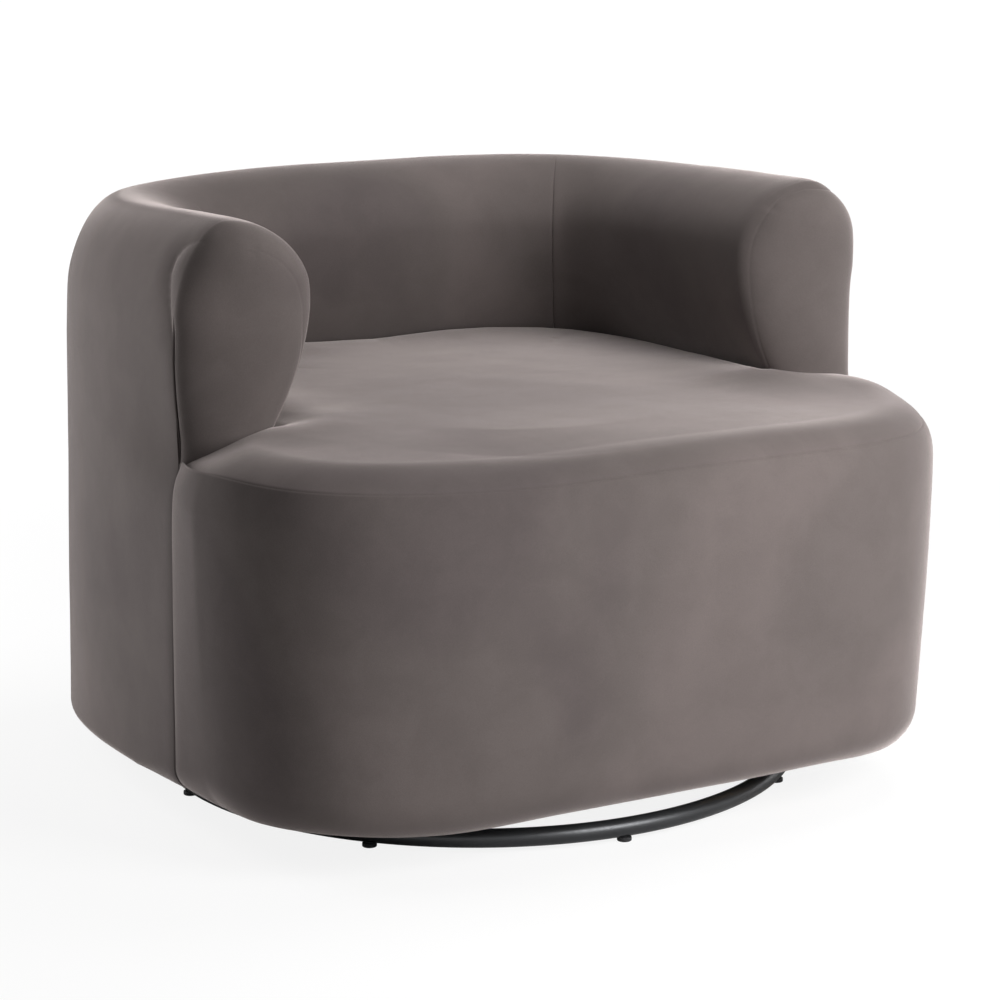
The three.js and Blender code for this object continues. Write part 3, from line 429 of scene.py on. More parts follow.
# closed pad: a skin with its lift, closed on the frame's side by a few plain rows
def sweptPad(name, length, offset, z, closing, lift):
    grid = swept(length, offset, z)
    outwardSign = 1 if signOf(grid) > 0 else -1
    grid = grid + gridNormals(grid, outwardSign) * lift(grid)[..., None]
    closeOffset, closeZ = closing
    back = swept(length, closeOffset, closeZ)
    points = np.concatenate([grid, back], axis=1)
    rows, columns = points.shape[:2]
    faces = gridFaces(rows, columns, closeColumns=True)
    faces.append(tuple(range(columns)))
    faces.append(tuple((rows - 1) * columns + c for c in reversed(range(columns))))
    return meshPiece(name, points.reshape(-1, 3), faces)


# the nose of each arm, and the seam that runs over it round the front panel
nose = {
    "reach": 0.041,
    "topRound": 0.057,
    "lowRows": 96,
    "topRows": 60,
    "columns": 120,
    "sink": 0.002,
    "from": 0.40,
    "seatGuess": 0.462,
    "signRow": 30,
}


# the wall's section where an arm ends, and the round nose that stands before it
class ArmEnd:
    def __init__(self, side):
        self.side = side
        at = outlineAt(np.array([side * armSeam]))
        self.x, self.y, self.nx, self.ny = (float(v[0]) for v in at)
        self.ahead = (self.ny * side, -self.nx * side)
        offset, z = (rows[0] for rows in wallSkin(np.array([self.y])))
        crest = int(np.argmax(z))
        self.crest = float(z[crest])
        first = int(np.argmax(z > nose["from"]))
        self.outer, self.outerZ = offset[first:crest + 1], z[first:crest + 1]
        self.inner, self.innerZ = offset[crest:][::-1], z[crest:][::-1]

    # on the nose, from turn -90 degrees at the outer side to 90 at the inner side
    def point(self, turn, z, bulge):
        a = np.interp(z, self.outerZ, self.outer)
        b = np.interp(z, self.innerZ, self.inner)
        across = (a + b) / 2 + (a - b) / 2 * -np.sin(turn)
        forward = nose["reach"] * bulge * np.cos(turn)
        px = self.x + self.nx * across + self.ahead[0] * forward
        py = self.y + self.ny * across + self.ahead[1] * forward
        return np.stack([px, py, z + 0 * px], axis=-1), forward

    def bulgeAt(self, z):
        rise = np.clip((z - (self.crest - nose["topRound"])) / nose["topRound"], 0, 1)
        return (1 - rise ** wall["roundness"]) ** (1 / wall["roundness"])

    # points of the panel's seam; a turn past -90 means millimetres behind the arm's end
    def seamLine(self, keys, count=500):
        keys = np.array(keys, float)
        at = np.linspace(0, len(keys) - 1, count)
        turn = np.interp(at, np.arange(len(keys)), keys[:, 0])
        z = np.interp(at, np.arange(len(keys)), keys[:, 1])
        share = np.interp(at, np.arange(len(keys)), keys[:, 2])
        width = 2 * (count // (2 * len(keys))) + 1
        kernel = np.hanning(width + 2)[1:-1]
        kernel /= kernel.sum()
        turn, z = (np.convolve(np.pad(v, width // 2, mode="edge"), kernel, "valid")
                   for v in (turn, z))
        onNose, _ = self.point(np.radians(np.clip(turn, -90, 90)), z, self.bulgeAt(z))
        behind = np.clip(-90 - turn, 0, None) / 1000
        x, y, nx, ny = outlineAt(self.side * (armSeam - behind))
        offset = np.interp(z, self.outerZ, self.outer)
        onWall = np.stack([x + nx * offset, y + ny * offset, z], axis=-1)
        return np.where(behind[:, None] > 0, onWall, onNose), share


# seam keys: turn in degrees, height in metres, share of the full dip
panelSeams = {
    1: [
        (-90, 0.440, 1), (-90, 0.500, 1), (-92, 0.560, 1), (-98, 0.605, 1), (-108, 0.632, 1),
        (-117, 0.652, 1), (-118, 0.670, 1), (-108, 0.684, 0.9), (-89, 0.692, 0.5),
        (-55, 0.697, 0.4), (-20, 0.700, 0.4), (20, 0.7015, 0.4), (48, 0.697, 0.4),
        (60, 0.688, 0.4), (61, 0.670, 0.35), (61, 0.645, 0.25), (62, 0.620, 0.2), (63, 0.590, 0.2),
        (64, 0.560, 0.2), (67, 0.530, 0.2), (71, 0.500, 0.3), (75, 0.475, 0.6), (78, 0.445, 1)],
    -1: [
        (-90, 0.440, 1), (-90, 0.500, 1), (-93, 0.560, 1), (-102, 0.600, 1), (-114, 0.626, 1),
        (-125, 0.646, 1), (-127, 0.664, 1), (-114, 0.679, 0.7), (-89, 0.687, 0.25),
        (-55, 0.686, 0), (-20, 0.682, 0), (10, 0.675, 0.15), (28, 0.661, 0.2), (40, 0.640, 0.2),
        (50, 0.610, 0.25), (56, 0.580, 0.3), (66, 0.550, 0.4), (75, 0.520, 0.5), (80, 0.490, 0.7),
        (82, 0.465, 1), (83, 0.445, 1)],
}
pulled = {"depth": 0.0018, "width": 0.022, "from": 0.55, "run": 0.03}
gathers = {"at": {1: 0.60, -1: 0.53}, "spread": {1: 0.020, -1: 0.018}, "folds": 26,
           "height": {1: 0.0009, -1: 0.0010}, "reach": 0.009, "clear": 0.0012,
           "swing": 1.3, "swingRate": 90}
armEnds = {side: ArmEnd(side) for side in (1, -1)}
armSeams = {side: armEnds[side].seamLine(panelSeams[side]) for side in (1, -1)}


# dip of the panel's seam and the small folds that are eased into it
def panelLift(grid, side):
    line, share = armSeams[side]
    points = grid.reshape(-1, 3)
    distance, index = lineDistance(points, line)
    along = index / len(line)
    high = np.clip((line[index, 2] - pulled["from"]) / pulled["run"], 0, 1)
    pull = high * share[index] * pulled["depth"]
    dip = (seamDip(distance, "panel", share[index])
           + pull * np.exp(-(distance / pulled["width"]) ** 2))
    window = np.exp(-((along - gathers["at"][side]) / gathers["spread"][side]) ** 2)
    swing = gathers["swing"] * np.sin(along * gathers["swingRate"])
    phase = 2 * np.pi * gathers["folds"] * along + swing
    fade = np.exp(-distance / gathers["reach"]) * (1 - np.exp(-distance / gathers["clear"]))
    folds = gathers["height"][side] * window * fade * np.sin(phase)
    return (folds - dip).reshape(grid.shape[:2])


# walls: the back and the two arms, each cover with the foam under it
profileOffset, profileZ = wallSkin(np.array([body["armFrontY"]]))
crestRow = int(np.argmax(profileZ[0]))
profileSteps = np.hypot(np.diff(profileOffset[0]), np.diff(profileZ[0]))
profileAlong = np.concatenate([[0], np.cumsum(profileSteps)])
profileAlong = profileAlong - profileAlong[crestRow]

# the corner seam shows inside and outside, the left one further down
cornerSeam = {"leftStart": 0.060, "insideRun": 0.07, "outsideFrom": 0.10, "outsideRun": 0.06,
              "outsideShare": 0.55}


def cornerShare(along, length):
    start = np.where(length < 0, cornerSeam["leftStart"], 0)[:, None]
    inside = np.clip((along[None, :] - start) / cornerSeam["insideRun"], 0, 1)
    outside = np.clip((-along[None, :] - cornerSeam["outsideFrom"]) / cornerSeam["outsideRun"],
                      0, 1)
    return np.maximum(inside, cornerSeam["outsideShare"] * outside)


def wallPad(name, start, end, side=0):
    length = seamSpaced(start, end, wall["step"])
    y = outlineAt(length)[1]
    offset, z = wallSkin(y)
    outer, inner, top, deck = wall["frame"]
    low = body["bottom"] + body["skin"]
    closeOffset = np.array([inner, inner, outer, outer, -wall["hem"]])[None, :]
    closeZ = np.array([deck, top, top, low, low])[None, :]
    corners = np.array([-backSeam, backSeam])
    fromCorner = np.abs(length[:, None] - corners[None, :]).min(axis=1)[:, None]

    def lift(grid):
        up = soften(grid) - seamDip(fromCorner, "corner", cornerShare(profileAlong, length))
        if side:
            fromFront = np.abs(np.abs(length) - armSeam)[:, None]
            under = (grid[..., 2] < body["seam"]) & (profileAlong[None, :] < 0)
            up = up + np.where(under, -seamDip(fromFront, "panel"), panelLift(grid, side))
            up = up - rollDip(-fromFront, grid[..., 2])
        return up

    ones = np.ones((len(length), 1))
    return sweptPad(name, length, offset, z, (closeOffset * ones, closeZ * ones), lift)


backPad = wallPad("backPad", -backSeam, backSeam)
rightArmPad = wallPad("rightArmPad", backSeam, armSeam, 1)
leftArmPad = wallPad("leftArmPad", -armSeam, -backSeam, -1)
print("back and arms made")

# seat: a dome over the whole outline, cut by the walls and rolled down beside them
seat = {
    "crown": 0.0085,
    "crownPower": 1.8,
    "centre": (0.0, -0.21),
    "rings": 96,
    "crowding": 1.5,
    "roll": 0.007,
    "rollWidth": 0.020,
    "touchReach": 0.085,
    "sink": 0.0012,
    "corner": {1: (0.006, 0.436, -0.205, 0.060), -1: (-0.008, 0.425, -0.176, 0.055)},
    "hollow": 0.014,
    "hollowAt": (-0.295, -0.105),
    "hollowWidth": 0.042,
    "hollowReach": 0.105,
    "sideClear": 0.001,
    "smoothAngle": 55,
    "rimPoints": 3600,
    "wallPoints": 2400,
    "frontPoints": 3000,
    "cornerPoints": 160,
    # levels down its hidden side, and how far each stands inside the border
    "levels": ((0.440, 0.0045), (0.425, 0.0048), (0.390, 0.0048), (0.350, 0.0048),
               (body["padBottom"], 0.0048)),
}
# height at which the seat meets the wall, from the middle of the back to the arm's end
touch = np.array([
    (0.00, 0.4700), (0.12, 0.4745), (0.19, 0.4740), (0.27, 0.4710), (0.36, 0.4680), (0.50, 0.4655),
    (0.58, 0.4655), (0.65, 0.4665), (0.72, 0.4680), (0.80, 0.4710), (0.86, 0.4745), (0.93, 0.4775),
    (1.00, 0.4810)])


def touchHeight(length):
    return np.interp(np.abs(length) / armSeam, touch[:, 0], touch[:, 1])


rimLengths = np.linspace(0, wholeLength, seat["rimPoints"])
rimX, rimY, rimNx, rimNy = outlineAt(rimLengths)
rimShift = sideOffset(rimY, body["seam"])
rimLine = np.stack([rimX + rimNx * rimShift, rimY + rimNy * rimShift], axis=-1)
topWide = body["bulge"] + body["topEdge"]
seamShare = (body["seam"] - body["widest"]) / body["topRise"]
edgeWidth = float(topEdge(np.array(seamShare))) * topWide
edgeTop = body["widest"] + body["topRise"]
domeX, domeY = rimLine[:, 0] - rimNx * edgeWidth, rimLine[:, 1] - rimNy * edgeWidth
domeAngle, domeReach = np.arctan2(domeX, domeY), np.hypot(domeX, domeY)
domeOrder = np.argsort(domeAngle)
wallLengths = np.linspace(armSeam, -armSeam, seat["wallPoints"])


# where the seat's skin meets the wall, at the height it has there
def wallLineAt(length, sink=0.0):
    x, y, nx, ny = outlineAt(length)
    offset = innerFace(y, touchHeight(length) - seat["roll"]) + sink
    return x + nx * offset, y + ny * offset


wallTouch = np.stack(wallLineAt(wallLengths), axis=-1)


def domeAt(x, y):
    edge = np.interp(np.arctan2(x, y), domeAngle[domeOrder], domeReach[domeOrder],
                     period=2 * np.pi)
    fall = np.clip(np.hypot(x, y) / edge, 0, 1) ** seat["crownPower"]
    return edgeTop + seat["crown"] * (1 - fall)


def seatHeight(x, y):
    flat = np.stack([x, y], axis=-1)
    fromRim, _ = lineDistance(flat, rimLine)
    part = np.clip(fromRim / edgeWidth, 0, 1)
    rolled = body["widest"] + body["topRise"] * topEdge((edgeWidth - fromRim) / topWide)
    creased = body["seam"] + (edgeTop - body["seam"]) * (1 - (1 - part) ** crease["above"])
    over = rolled + creaseShare(x, y) * (creased - rolled)
    z = np.where(fromRim < edgeWidth, over, domeAt(x, y))
    fromWall, index = lineDistance(flat, wallTouch)
    lift = touchHeight(wallLengths[index]) - domeAt(*wallTouch[index].T)
    z = z + lift * np.exp(-(fromWall / seat["touchReach"]) ** 2) * part
    z = z - seat["roll"] * np.clip(1 - fromWall / seat["rollWidth"], 0, 1) ** 2 * part
    for side, (height, cornerX, cornerY, reach) in seat["corner"].items():
        gap = np.hypot(x - side * cornerX, y - cornerY)
        z = z + height * np.exp(-(gap / reach) ** 2)
    gap = np.hypot(x - seat["hollowAt"][0], y - seat["hollowAt"][1])
    near = np.exp(-(fromWall / seat["hollowWidth"]) ** 2 - (gap / seat["hollowReach"]) ** 2)
    z = z - seat["hollow"] * near * part
    return z, fromRim, fromWall


# closed line round the seat: the front outline, in behind the nose, along the wall, out again
def seatBoundary(level, frontInset, wallSink):
    count = seat["frontPoints"]
    front = np.linspace(wholeLength - armSeam, armSeam, count)
    x, y, nx, ny = outlineAt(front)
    offset = sideOffset(y, level) - frontInset
    frontX, frontY = x + nx * offset, y + ny * offset
    if wallSink is None:
        x, y, nx, ny = outlineAt(np.linspace(armSeam, -armSeam, count))
        offset = innerFace(y, body["seam"]) - seat["sideClear"]
        wallX, wallY = x + nx * offset, y + ny * offset
    else:
        wallX, wallY = wallLineAt(np.linspace(armSeam, -armSeam, count), wallSink)
    share = np.linspace(0, 1, seat["cornerPoints"] + 2)[1:-1]
    right = [frontX[-1] + (wallX[0] - frontX[-1]) * share,
             frontY[-1] + (wallY[0] - frontY[-1]) * share]
    left = [wallX[-1] + (frontX[0] - wallX[-1]) * share,
            wallY[-1] + (frontY[0] - wallY[-1]) * share]
    return (np.concatenate([frontX, right[0], wallX, left[0], frontX[:1]]),
            np.concatenate([frontY, right[1], wallY, left[1], frontY[:1]]))


def makeSeat():
    count = seat["rings"]
    boundX, boundY = seatBoundary(body["seam"], 0.0, seat["sink"])
    cx, cy = seat["centre"]
    length = np.concatenate([[0], np.cumsum(np.hypot(np.diff(boundX), np.diff(boundY)))])
    index = np.arange(-count, count + 1)
    u, v = np.meshgrid(index, index, indexing="ij")
    ring = np.maximum(np.abs(u), np.abs(v))
    walk = np.select(
        [(u == ring) & (v > -ring), (v == ring) & (u < ring), (u == -ring) & (v < ring)],
        [v + ring, 3 * ring - u, 5 * ring - v], 7 * ring + u)
    share = np.mod(walk / (8 * np.maximum(ring, 1)), 1.0)
    place = np.interp(share * length[-1], length, np.arange(len(length)))
    bx = np.interp(place, np.arange(len(length)), boundX)
    by = np.interp(place, np.arange(len(length)), boundY)
    grow = 1 - (1 - ring / count) ** seat["crowding"]
    x, y = (cx + (bx - cx) * grow).ravel(), (cy + (by - cy) * grow).ravel()
    z, fromRim, fromWall = seatHeight(x, y)
    grid = np.stack([x, y, z], axis=-1).reshape(*u.shape, 3)
    normals = gridNormals(grid, 1)
    normals *= np.sign(normals[..., 2:3]) + (normals[..., 2:3] == 0)
    up = soften(grid) - seamDip(fromRim, "front").reshape(u.shape)
    edge = (ring == count) & (place > seat["frontPoints"])
    grid = grid + normals * np.where(edge, 0, up)[..., None]
    points = list(grid.reshape(-1, 3))
    faces = gridFaces(*u.shape)
    number = np.arange(u.size).reshape(u.shape)
    last = 2 * count
    loop = ([number[last, c] for c in range(0, last)]
            + [number[r, last] for r in range(last, 0, -1)]
            + [number[0, c] for c in range(last, 0, -1)]
            + [number[r, 0] for r in range(0, last)])
    places = place.ravel()[loop]
    before = loop
    for level, inset in seat["levels"]:
        levelX, levelY = seatBoundary(level, inset, None)
        start = len(points)
        points.extend(np.stack([np.interp(places, np.arange(len(levelX)), levelX),
                                np.interp(places, np.arange(len(levelY)), levelY),
                                np.full(len(places), level)], axis=-1))
        now = list(range(start, start + len(loop)))
        for a in range(len(loop)):
            b = (a + 1) % len(loop)
            faces.append((before[a], before[b], now[b], now[a]))
        before = now
    faces.append(tuple(before))
    return meshPiece("seatPad", points, faces, seat["smoothAngle"])


seatPad = makeSeat()
print("seat made")


def armFront(name, side):
    end = armEnds[side]
    turn = np.radians(np.linspace(-90, 90, nose["columns"]))
    base, _ = end.point(turn, np.full(nose["columns"], nose["seatGuess"]), 1.0)
    onSeat = seatHeight(base[:, 0], base[:, 1])[0] - nose["sink"]
    foot = end.crest - nose["topRound"]
    power = 2 / wall["roundness"]
    rings, forwards = [], []
    for k in range(nose["lowRows"]):
        points, forward = end.point(turn, onSeat + (foot - onSeat) * k / nose["lowRows"], 1.0)
        rings.append(points)
        forwards.append(forward)
    for k in range(nose["topRows"]):
        angle = np.pi / 2 * k / nose["topRows"]
        z = np.full(nose["columns"], foot + nose["topRound"] * math.sin(angle) ** power)
        points, forward = end.point(turn, z, math.cos(angle) ** power)
        rings.append(points)
        forwards.append(forward)
    grid = np.array(rings)
    n = gridNormals(grid, 1)[nose["signRow"], nose["columns"] // 2]
    sign = 1 if n[0] * end.ahead[0] + n[1] * end.ahead[1] > 0 else -1
    up = soften(grid) + panelLift(grid, side) - rollDip(np.array(forwards), grid[..., 2])
    grid = grid + gridNormals(grid, sign) * up[..., None]
    rows, columns = grid.shape[:2]
    points = list(grid.reshape(-1, 3))
    outerCrest = float(end.outer[-1])
    tip = np.array([[end.x + end.nx * outerCrest, end.y + end.ny * outerCrest, end.crest]])
    tip[0, 2] += float(soften(tip[None])[0, 0] + panelLift(tip[None], side)[0, 0]
                       - rollDip(np.array([0.0]), end.crest)[0])
    points.append(tip[0])
    faces = gridFaces(rows, columns)
    last = (rows - 1) * columns
    for c in range(columns - 1):
        faces.append((last + c, last + c + 1, rows * columns))
    faces.append(tuple(range(columns)))
    left = [r * columns for r in range(rows)]
    right = [r * columns + columns - 1 for r in reversed(range(rows))]
    faces.append(tuple(left + [rows * columns] + right))
    return meshPiece(name, points, faces)


rightArmFront = armFront("rightArmFront", 1)
leftArmFront = armFront("leftArmFront", -1)
print("arm fronts made")

# front border: from arm seam to arm seam under the seat
border = {"hem": 0.100, "hemRows": (10, 18), "step": 0.0058, "foam": 0.062, "rows": 84,
          "clear": 0.0006, "gap": 0.0015, "innerLevels": (0.4405, 0.425, 0.39, 0.35)}


def makeBorder():
    start, end = armSeam, wholeLength - armSeam
    length = seamSpaced(start, end, border["step"])
    y = np.minimum(outlineAt(length)[1], body["armFrontY"])
    low, lowZ = bottomCorner(y, border["hemRows"], border["hem"])
    top = body["seam"]
    share = np.linspace(0, 1, border["rows"])[None, 1:]
    sideZ = lowZ[:, -1:] + (top - seamSteps[-1] - lowZ[:, -1:]) * share
    nearSeam = (top - seamSteps[:-1])[::-1][None, :] + 0 * sideZ[:, :1]
    sideZ = np.hstack([sideZ, nearSeam])
    x, trueY = (part[:, None] for part in outlineAt(length)[:2])
    offset = np.hstack([low, sideOffset(y[:, None], sideZ) + creaseOffset(x, trueY, sideZ)])
    z = np.hstack([lowZ, sideZ])
    skin = body["skin"]
    pad = body["padBottom"] - border["clear"]
    foot = body["bottom"] + skin
    column = 0 * y[:, None]
    innerZ = np.array([*border["innerLevels"], pad])[None, :] + column
    inner = sideOffset(y[:, None], innerZ) - skin - border["gap"]
    rest = np.array([-border["foam"], -border["foam"], -border["hem"]])[None, :] + column
    restZ = np.array([pad, foot, foot])[None, :] + column
    fromSide = np.minimum(length - start, end - length)[:, None]

    def lift(grid):
        return soften(grid) - np.maximum(seamDip(fromSide, "panel"),
                                         seamDip(np.abs(top - z), "front"))

    return sweptPad("frontBorder", length, offset, z,
                    (np.hstack([inner, rest]), np.hstack([innerZ, restZ])), lift)


frontBorder = makeBorder()
print("front border made")

for piece, fill, nodes in [
    (backPad, 0.85, ("back_cover", "back_foam")),
    (rightArmPad, 0.85, ("right_arm_cover", "right_arm_foam")),
    (leftArmPad, 0.85, ("left_arm_cover", "left_arm_foam")),
    (rightArmFront, 0.85, ("right_arm_front_cover",)),
    (leftArmFront, 0.85, ("left_arm_front_cover",)),
    (frontBorder, 0.85, ("front_border_cover", "front_foam")),
    (seatPad, 0.8, ("seat_top_cover", "seat_foam")),
]:
    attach(piece, "seat")
    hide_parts(*nodes)


# base: round tube ring and its glides
ring = {"radius": 0.380, "tube": 0.011, "height": 0.016, "around": 200, "section": 28,
        "weldHalf": 0.001, "weldRise": 0.0005}


def makeRing():
    bpy.ops.object.select_all(action="DESELECT")
    bpy.ops.mesh.primitive_torus_add(major_radius=ring["radius"], minor_radius=ring["tube"],
                                     major_segments=ring["around"], minor_segments=ring["section"],
                                     location=(0, 0, ring["height"]))
    made = bpy.context.active_object
    made.name = made.data.name = "ringTube"
    bpy.ops.object.transform_apply(location=True, rotation=True, scale=True)
    bpy.ops.object.mode_set(mode="EDIT")
    bpy.ops.mesh.select_all(action="DESELECT")
    work = bmesh.from_edit_mesh(made.data)
    for v in work.verts:  # the low weld at the back, where the tube's ends meet
        v.select = v.co.y > 0 and abs(v.co.x) < ring["weldHalf"]
    work.select_flush_mode()
    bmesh.update_edit_mesh(made.data)
    bpy.ops.transform.shrink_fatten(value=ring["weldRise"])
    bpy.ops.mesh.select_all(action="SELECT")
    bpy.ops.mesh.normals_make_consistent(inside=False)
    bpy.ops.object.mode_set(mode="OBJECT")
    bpy.ops.object.shade_smooth()
    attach(made, "base")
    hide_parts("base_ring")
    return made


ringTube = makeRing()

glide = {"radius": 0.0085, "height": 0.0047, "chamfer": 0.001, "chamferSteps": 4, "stud": 0.003,
         "studHeight": 0.006, "count": 8, "around": 48, "rim": 0.98, "smoothAngle": 40,
         "facingUp": 0.9, "sameLevel": 0.00001}


def makeGlide(number):
    angle = 2 * math.pi * (number - 1) / glide["count"] - math.pi / 2
    x, y = ring["radius"] * math.cos(angle), ring["radius"] * math.sin(angle)
    bpy.ops.object.select_all(action="DESELECT")
    bpy.ops.mesh.primitive_cylinder_add(vertices=glide["around"], radius=glide["radius"],
                                        depth=glide["height"],
                                        location=(x, y, glide["height"] / 2))
    made = bpy.context.active_object
    made.name = made.data.name = f"glidePad{number}"
    bpy.ops.object.transform_apply(location=True, rotation=True, scale=True)
    bpy.ops.object.mode_set(mode="EDIT")
    bpy.ops.mesh.select_mode(type="FACE")
    bpy.ops.mesh.select_all(action="DESELECT")
    work = bmesh.from_edit_mesh(made.data)
    for f in work.faces:  # the top face
        f.select = f.normal.z > glide["facingUp"]
    bmesh.update_edit_mesh(made.data)
    bpy.ops.mesh.inset(thickness=glide["radius"] - glide["stud"])
    bpy.ops.mesh.extrude_region_move(TRANSFORM_OT_translate={"value": (0, 0, glide["studHeight"])})
    bpy.ops.mesh.select_mode(type="EDGE")
    bpy.ops.mesh.select_all(action="DESELECT")
    work = bmesh.from_edit_mesh(made.data)
    reach = glide["radius"] * glide["rim"]
    for e in work.edges:  # the two round edges
        wide = all(math.hypot(v.co.x - x, v.co.y - y) > reach for v in e.verts)
        level = abs(e.verts[0].co.z - e.verts[1].co.z) < glide["sameLevel"]
        e.select = wide and level
    bmesh.update_edit_mesh(made.data)
    bpy.ops.mesh.bevel(offset=glide["chamfer"], segments=glide["chamferSteps"], profile=0.5,
                       affect="EDGES")
    bpy.ops.object.mode_set(mode="OBJECT")
    bpy.ops.object.shade_smooth_by_angle(angle=math.radians(glide["smoothAngle"]))
    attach(made, "base")
    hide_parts(f"glide_{number}")
    return made


glides = [makeGlide(n) for n in range(1, glide["count"] + 1)]
print("ring and glides made")


# materials
def newMaterial(name):
    made = bpy.data.materials.new(name)
    made.use_nodes = True
    tree = made.node_tree
    shader = tree.nodes["Principled BSDF"]
    place = tree.nodes.new("ShaderNodeTexCoord")
    return made, tree, shader, place.outputs["Object"]


def noiseNode(tree, vector, scale, detail=2.0, roughness=0.5, distortion=0.0):
    made = tree.nodes.new("ShaderNodeTexNoise")
    made.inputs["Scale"].default_value = scale
    made.inputs["Detail"].default_value = detail
    made.inputs["Roughness"].default_value = roughness
    made.inputs["Distortion"].default_value = distortion
    tree.links.new(vector, made.inputs["Vector"])
    return made.outputs["Fac"]


def rampNode(tree, value, stops):
    made = tree.nodes.new("ShaderNodeValToRGB")
    made.color_ramp.interpolation = "EASE"
    while len(made.color_ramp.elements) < len(stops):
        made.color_ramp.elements.new(0.5)
    for element, (at, color) in zip(made.color_ramp.elements, stops):
        element.position = at
        element.color = (*color, 1)
    tree.links.new(value, made.inputs["Fac"])
    return made.outputs["Color"]


def multiplied(tree, a, b):
    made = tree.nodes.new("ShaderNodeMix")
    made.data_type = "RGBA"
    made.blend_type = "MULTIPLY"
    made.inputs[0].default_value = 1.0
    tree.links.new(a, made.inputs[6])
    tree.links.new(b, made.inputs[7])
    return made.outputs[2]


def bumpNode(tree, height, strength, distance, normal=None):
    made = tree.nodes.new("ShaderNodeBump")
    made.inputs["Strength"].default_value = strength
    made.inputs["Distance"].default_value = distance
    tree.links.new(height, made.inputs["Height"])
    if normal is not None:
        tree.links.new(normal, made.inputs["Normal"])
    return made.outputs["Normal"]


def linear(*parts):  # colour of 0 to 255 as linear light
    return tuple((v / 255 / 12.92) if v / 255 <= 0.04045 else ((v / 255 + 0.055) / 1.055) ** 2.4
                 for v in parts)


velvetLook = {
    "dark": linear(94, 86, 85),
    "middle": linear(101, 93, 91),
    "light": linear(108, 99, 97),
    "sheen": 1.0,
    "sheenRoughness": 0.30,
    "sheenTint": linear(233, 221, 218),
    "roughness": 0.92,
    "specular": 0.15,
    # each noise has its scale, detail, roughness and distortion
    "marks": (2.6, 1.5, 0.45, 0.9),
    "markStops": (0.36, 0.5, 0.66),
    "spots": (17.0, 4.0, 0.6, 0.4),
    "spotStops": ((0.3, (0.90, 0.90, 0.90)), (0.7, (1.0, 1.0, 1.0))),
    "pile": (900.0, 3.0, 0.7),
    "pileStops": ((0.25, (0.86, 0.86, 0.86)), (0.75, (1.0, 1.0, 1.0))),
    "waves": (30.0, 3.0, 0.55),
    # strength and depth of the two bumps
    "waveBump": (0.12, 0.002),
    "pileBump": (0.25, 0.0006),
}


def makeVelvet():
    look = velvetLook
    made, tree, shader, place = newMaterial("velvet")
    colors = look["dark"], look["middle"], look["light"]
    wide = noiseNode(tree, place, *look["marks"])
    marks = rampNode(tree, wide, list(zip(look["markStops"], colors)))
    small = noiseNode(tree, place, *look["spots"])
    spots = rampNode(tree, small, look["spotStops"])
    cloth = multiplied(tree, marks, spots)
    pile = noiseNode(tree, place, *look["pile"])
    speckle = rampNode(tree, pile, look["pileStops"])
    tree.links.new(multiplied(tree, cloth, speckle), shader.inputs["Base Color"])
    shader.inputs["Roughness"].default_value = look["roughness"]
    shader.inputs["Specular IOR Level"].default_value = look["specular"]
    shader.inputs["Sheen Weight"].default_value = look["sheen"]
    shader.inputs["Sheen Roughness"].default_value = look["sheenRoughness"]
    shader.inputs["Sheen Tint"].default_value = (*look["sheenTint"], 1)
    slow = bumpNode(tree, noiseNode(tree, place, *look["waves"]), *look["waveBump"])
    tree.links.new(bumpNode(tree, pile, *look["pileBump"], slow), shader.inputs["Normal"])
    return made


metalLook = {"patch": (24.0, 3.0, 0.55), "darker": 0.86, "stops": (0.3, 0.7),
             "grain": (4.0, 0.6), "depth": 0.0004}


def makeMetal(name, color, roughness, metallic, grain=220.0, spread=0.08, bump=0.05):
    made, tree, shader, place = newMaterial(name)
    patch = noiseNode(tree, place, *metalLook["patch"])
    darker = tuple(v * metalLook["darker"] for v in color)
    low, high = metalLook["stops"]
    tree.links.new(rampNode(tree, patch, [(low, darker), (high, color)]),
                   shader.inputs["Base Color"])
    fine = noiseNode(tree, place, grain, *metalLook["grain"])
    smooth, rough = (roughness - spread,) * 3, (roughness + spread,) * 3
    tree.links.new(rampNode(tree, fine, [(low, smooth), (high, rough)]),
                   shader.inputs["Roughness"])
    shader.inputs["Metallic"].default_value = metallic
    tree.links.new(bumpNode(tree, fine, bump, metalLook["depth"]), shader.inputs["Normal"])
    return made


woodLook = {"grain": (6.0, 0.65, 0.8), "stops": (0.32, 0.68), "bump": (0.2, 0.0006)}


def makeWood(name, dark, light, stretch, scale=14.0, roughness=0.62):
    made, tree, shader, place = newMaterial(name)
    mapping = tree.nodes.new("ShaderNodeMapping")
    mapping.inputs["Scale"].default_value = stretch
    tree.links.new(place, mapping.inputs["Vector"])
    grain = noiseNode(tree, mapping.outputs["Vector"], scale, *woodLook["grain"])
    tree.links.new(rampNode(tree, grain, list(zip(woodLook["stops"], (dark, light)))),
                   shader.inputs["Base Color"])
    shader.inputs["Roughness"].default_value = roughness
    tree.links.new(bumpNode(tree, grain, *woodLook["bump"]), shader.inputs["Normal"])
    return made


clothLook = {"fibre": (5.0, 0.7), "stops": (0.3, 0.7), "bump": (0.5, 0.0008)}


def makeCloth(name, dark, light, scale, roughness=0.95):
    made, tree, shader, place = newMaterial(name)
    fibre = noiseNode(tree, place, scale, *clothLook["fibre"])
    tree.links.new(rampNode(tree, fibre, list(zip(clothLook["stops"], (dark, light)))),
                   shader.inputs["Base Color"])
    shader.inputs["Roughness"].default_value = roughness
    tree.links.new(bumpNode(tree, fibre, *clothLook["bump"]), shader.inputs["Normal"])
    return made


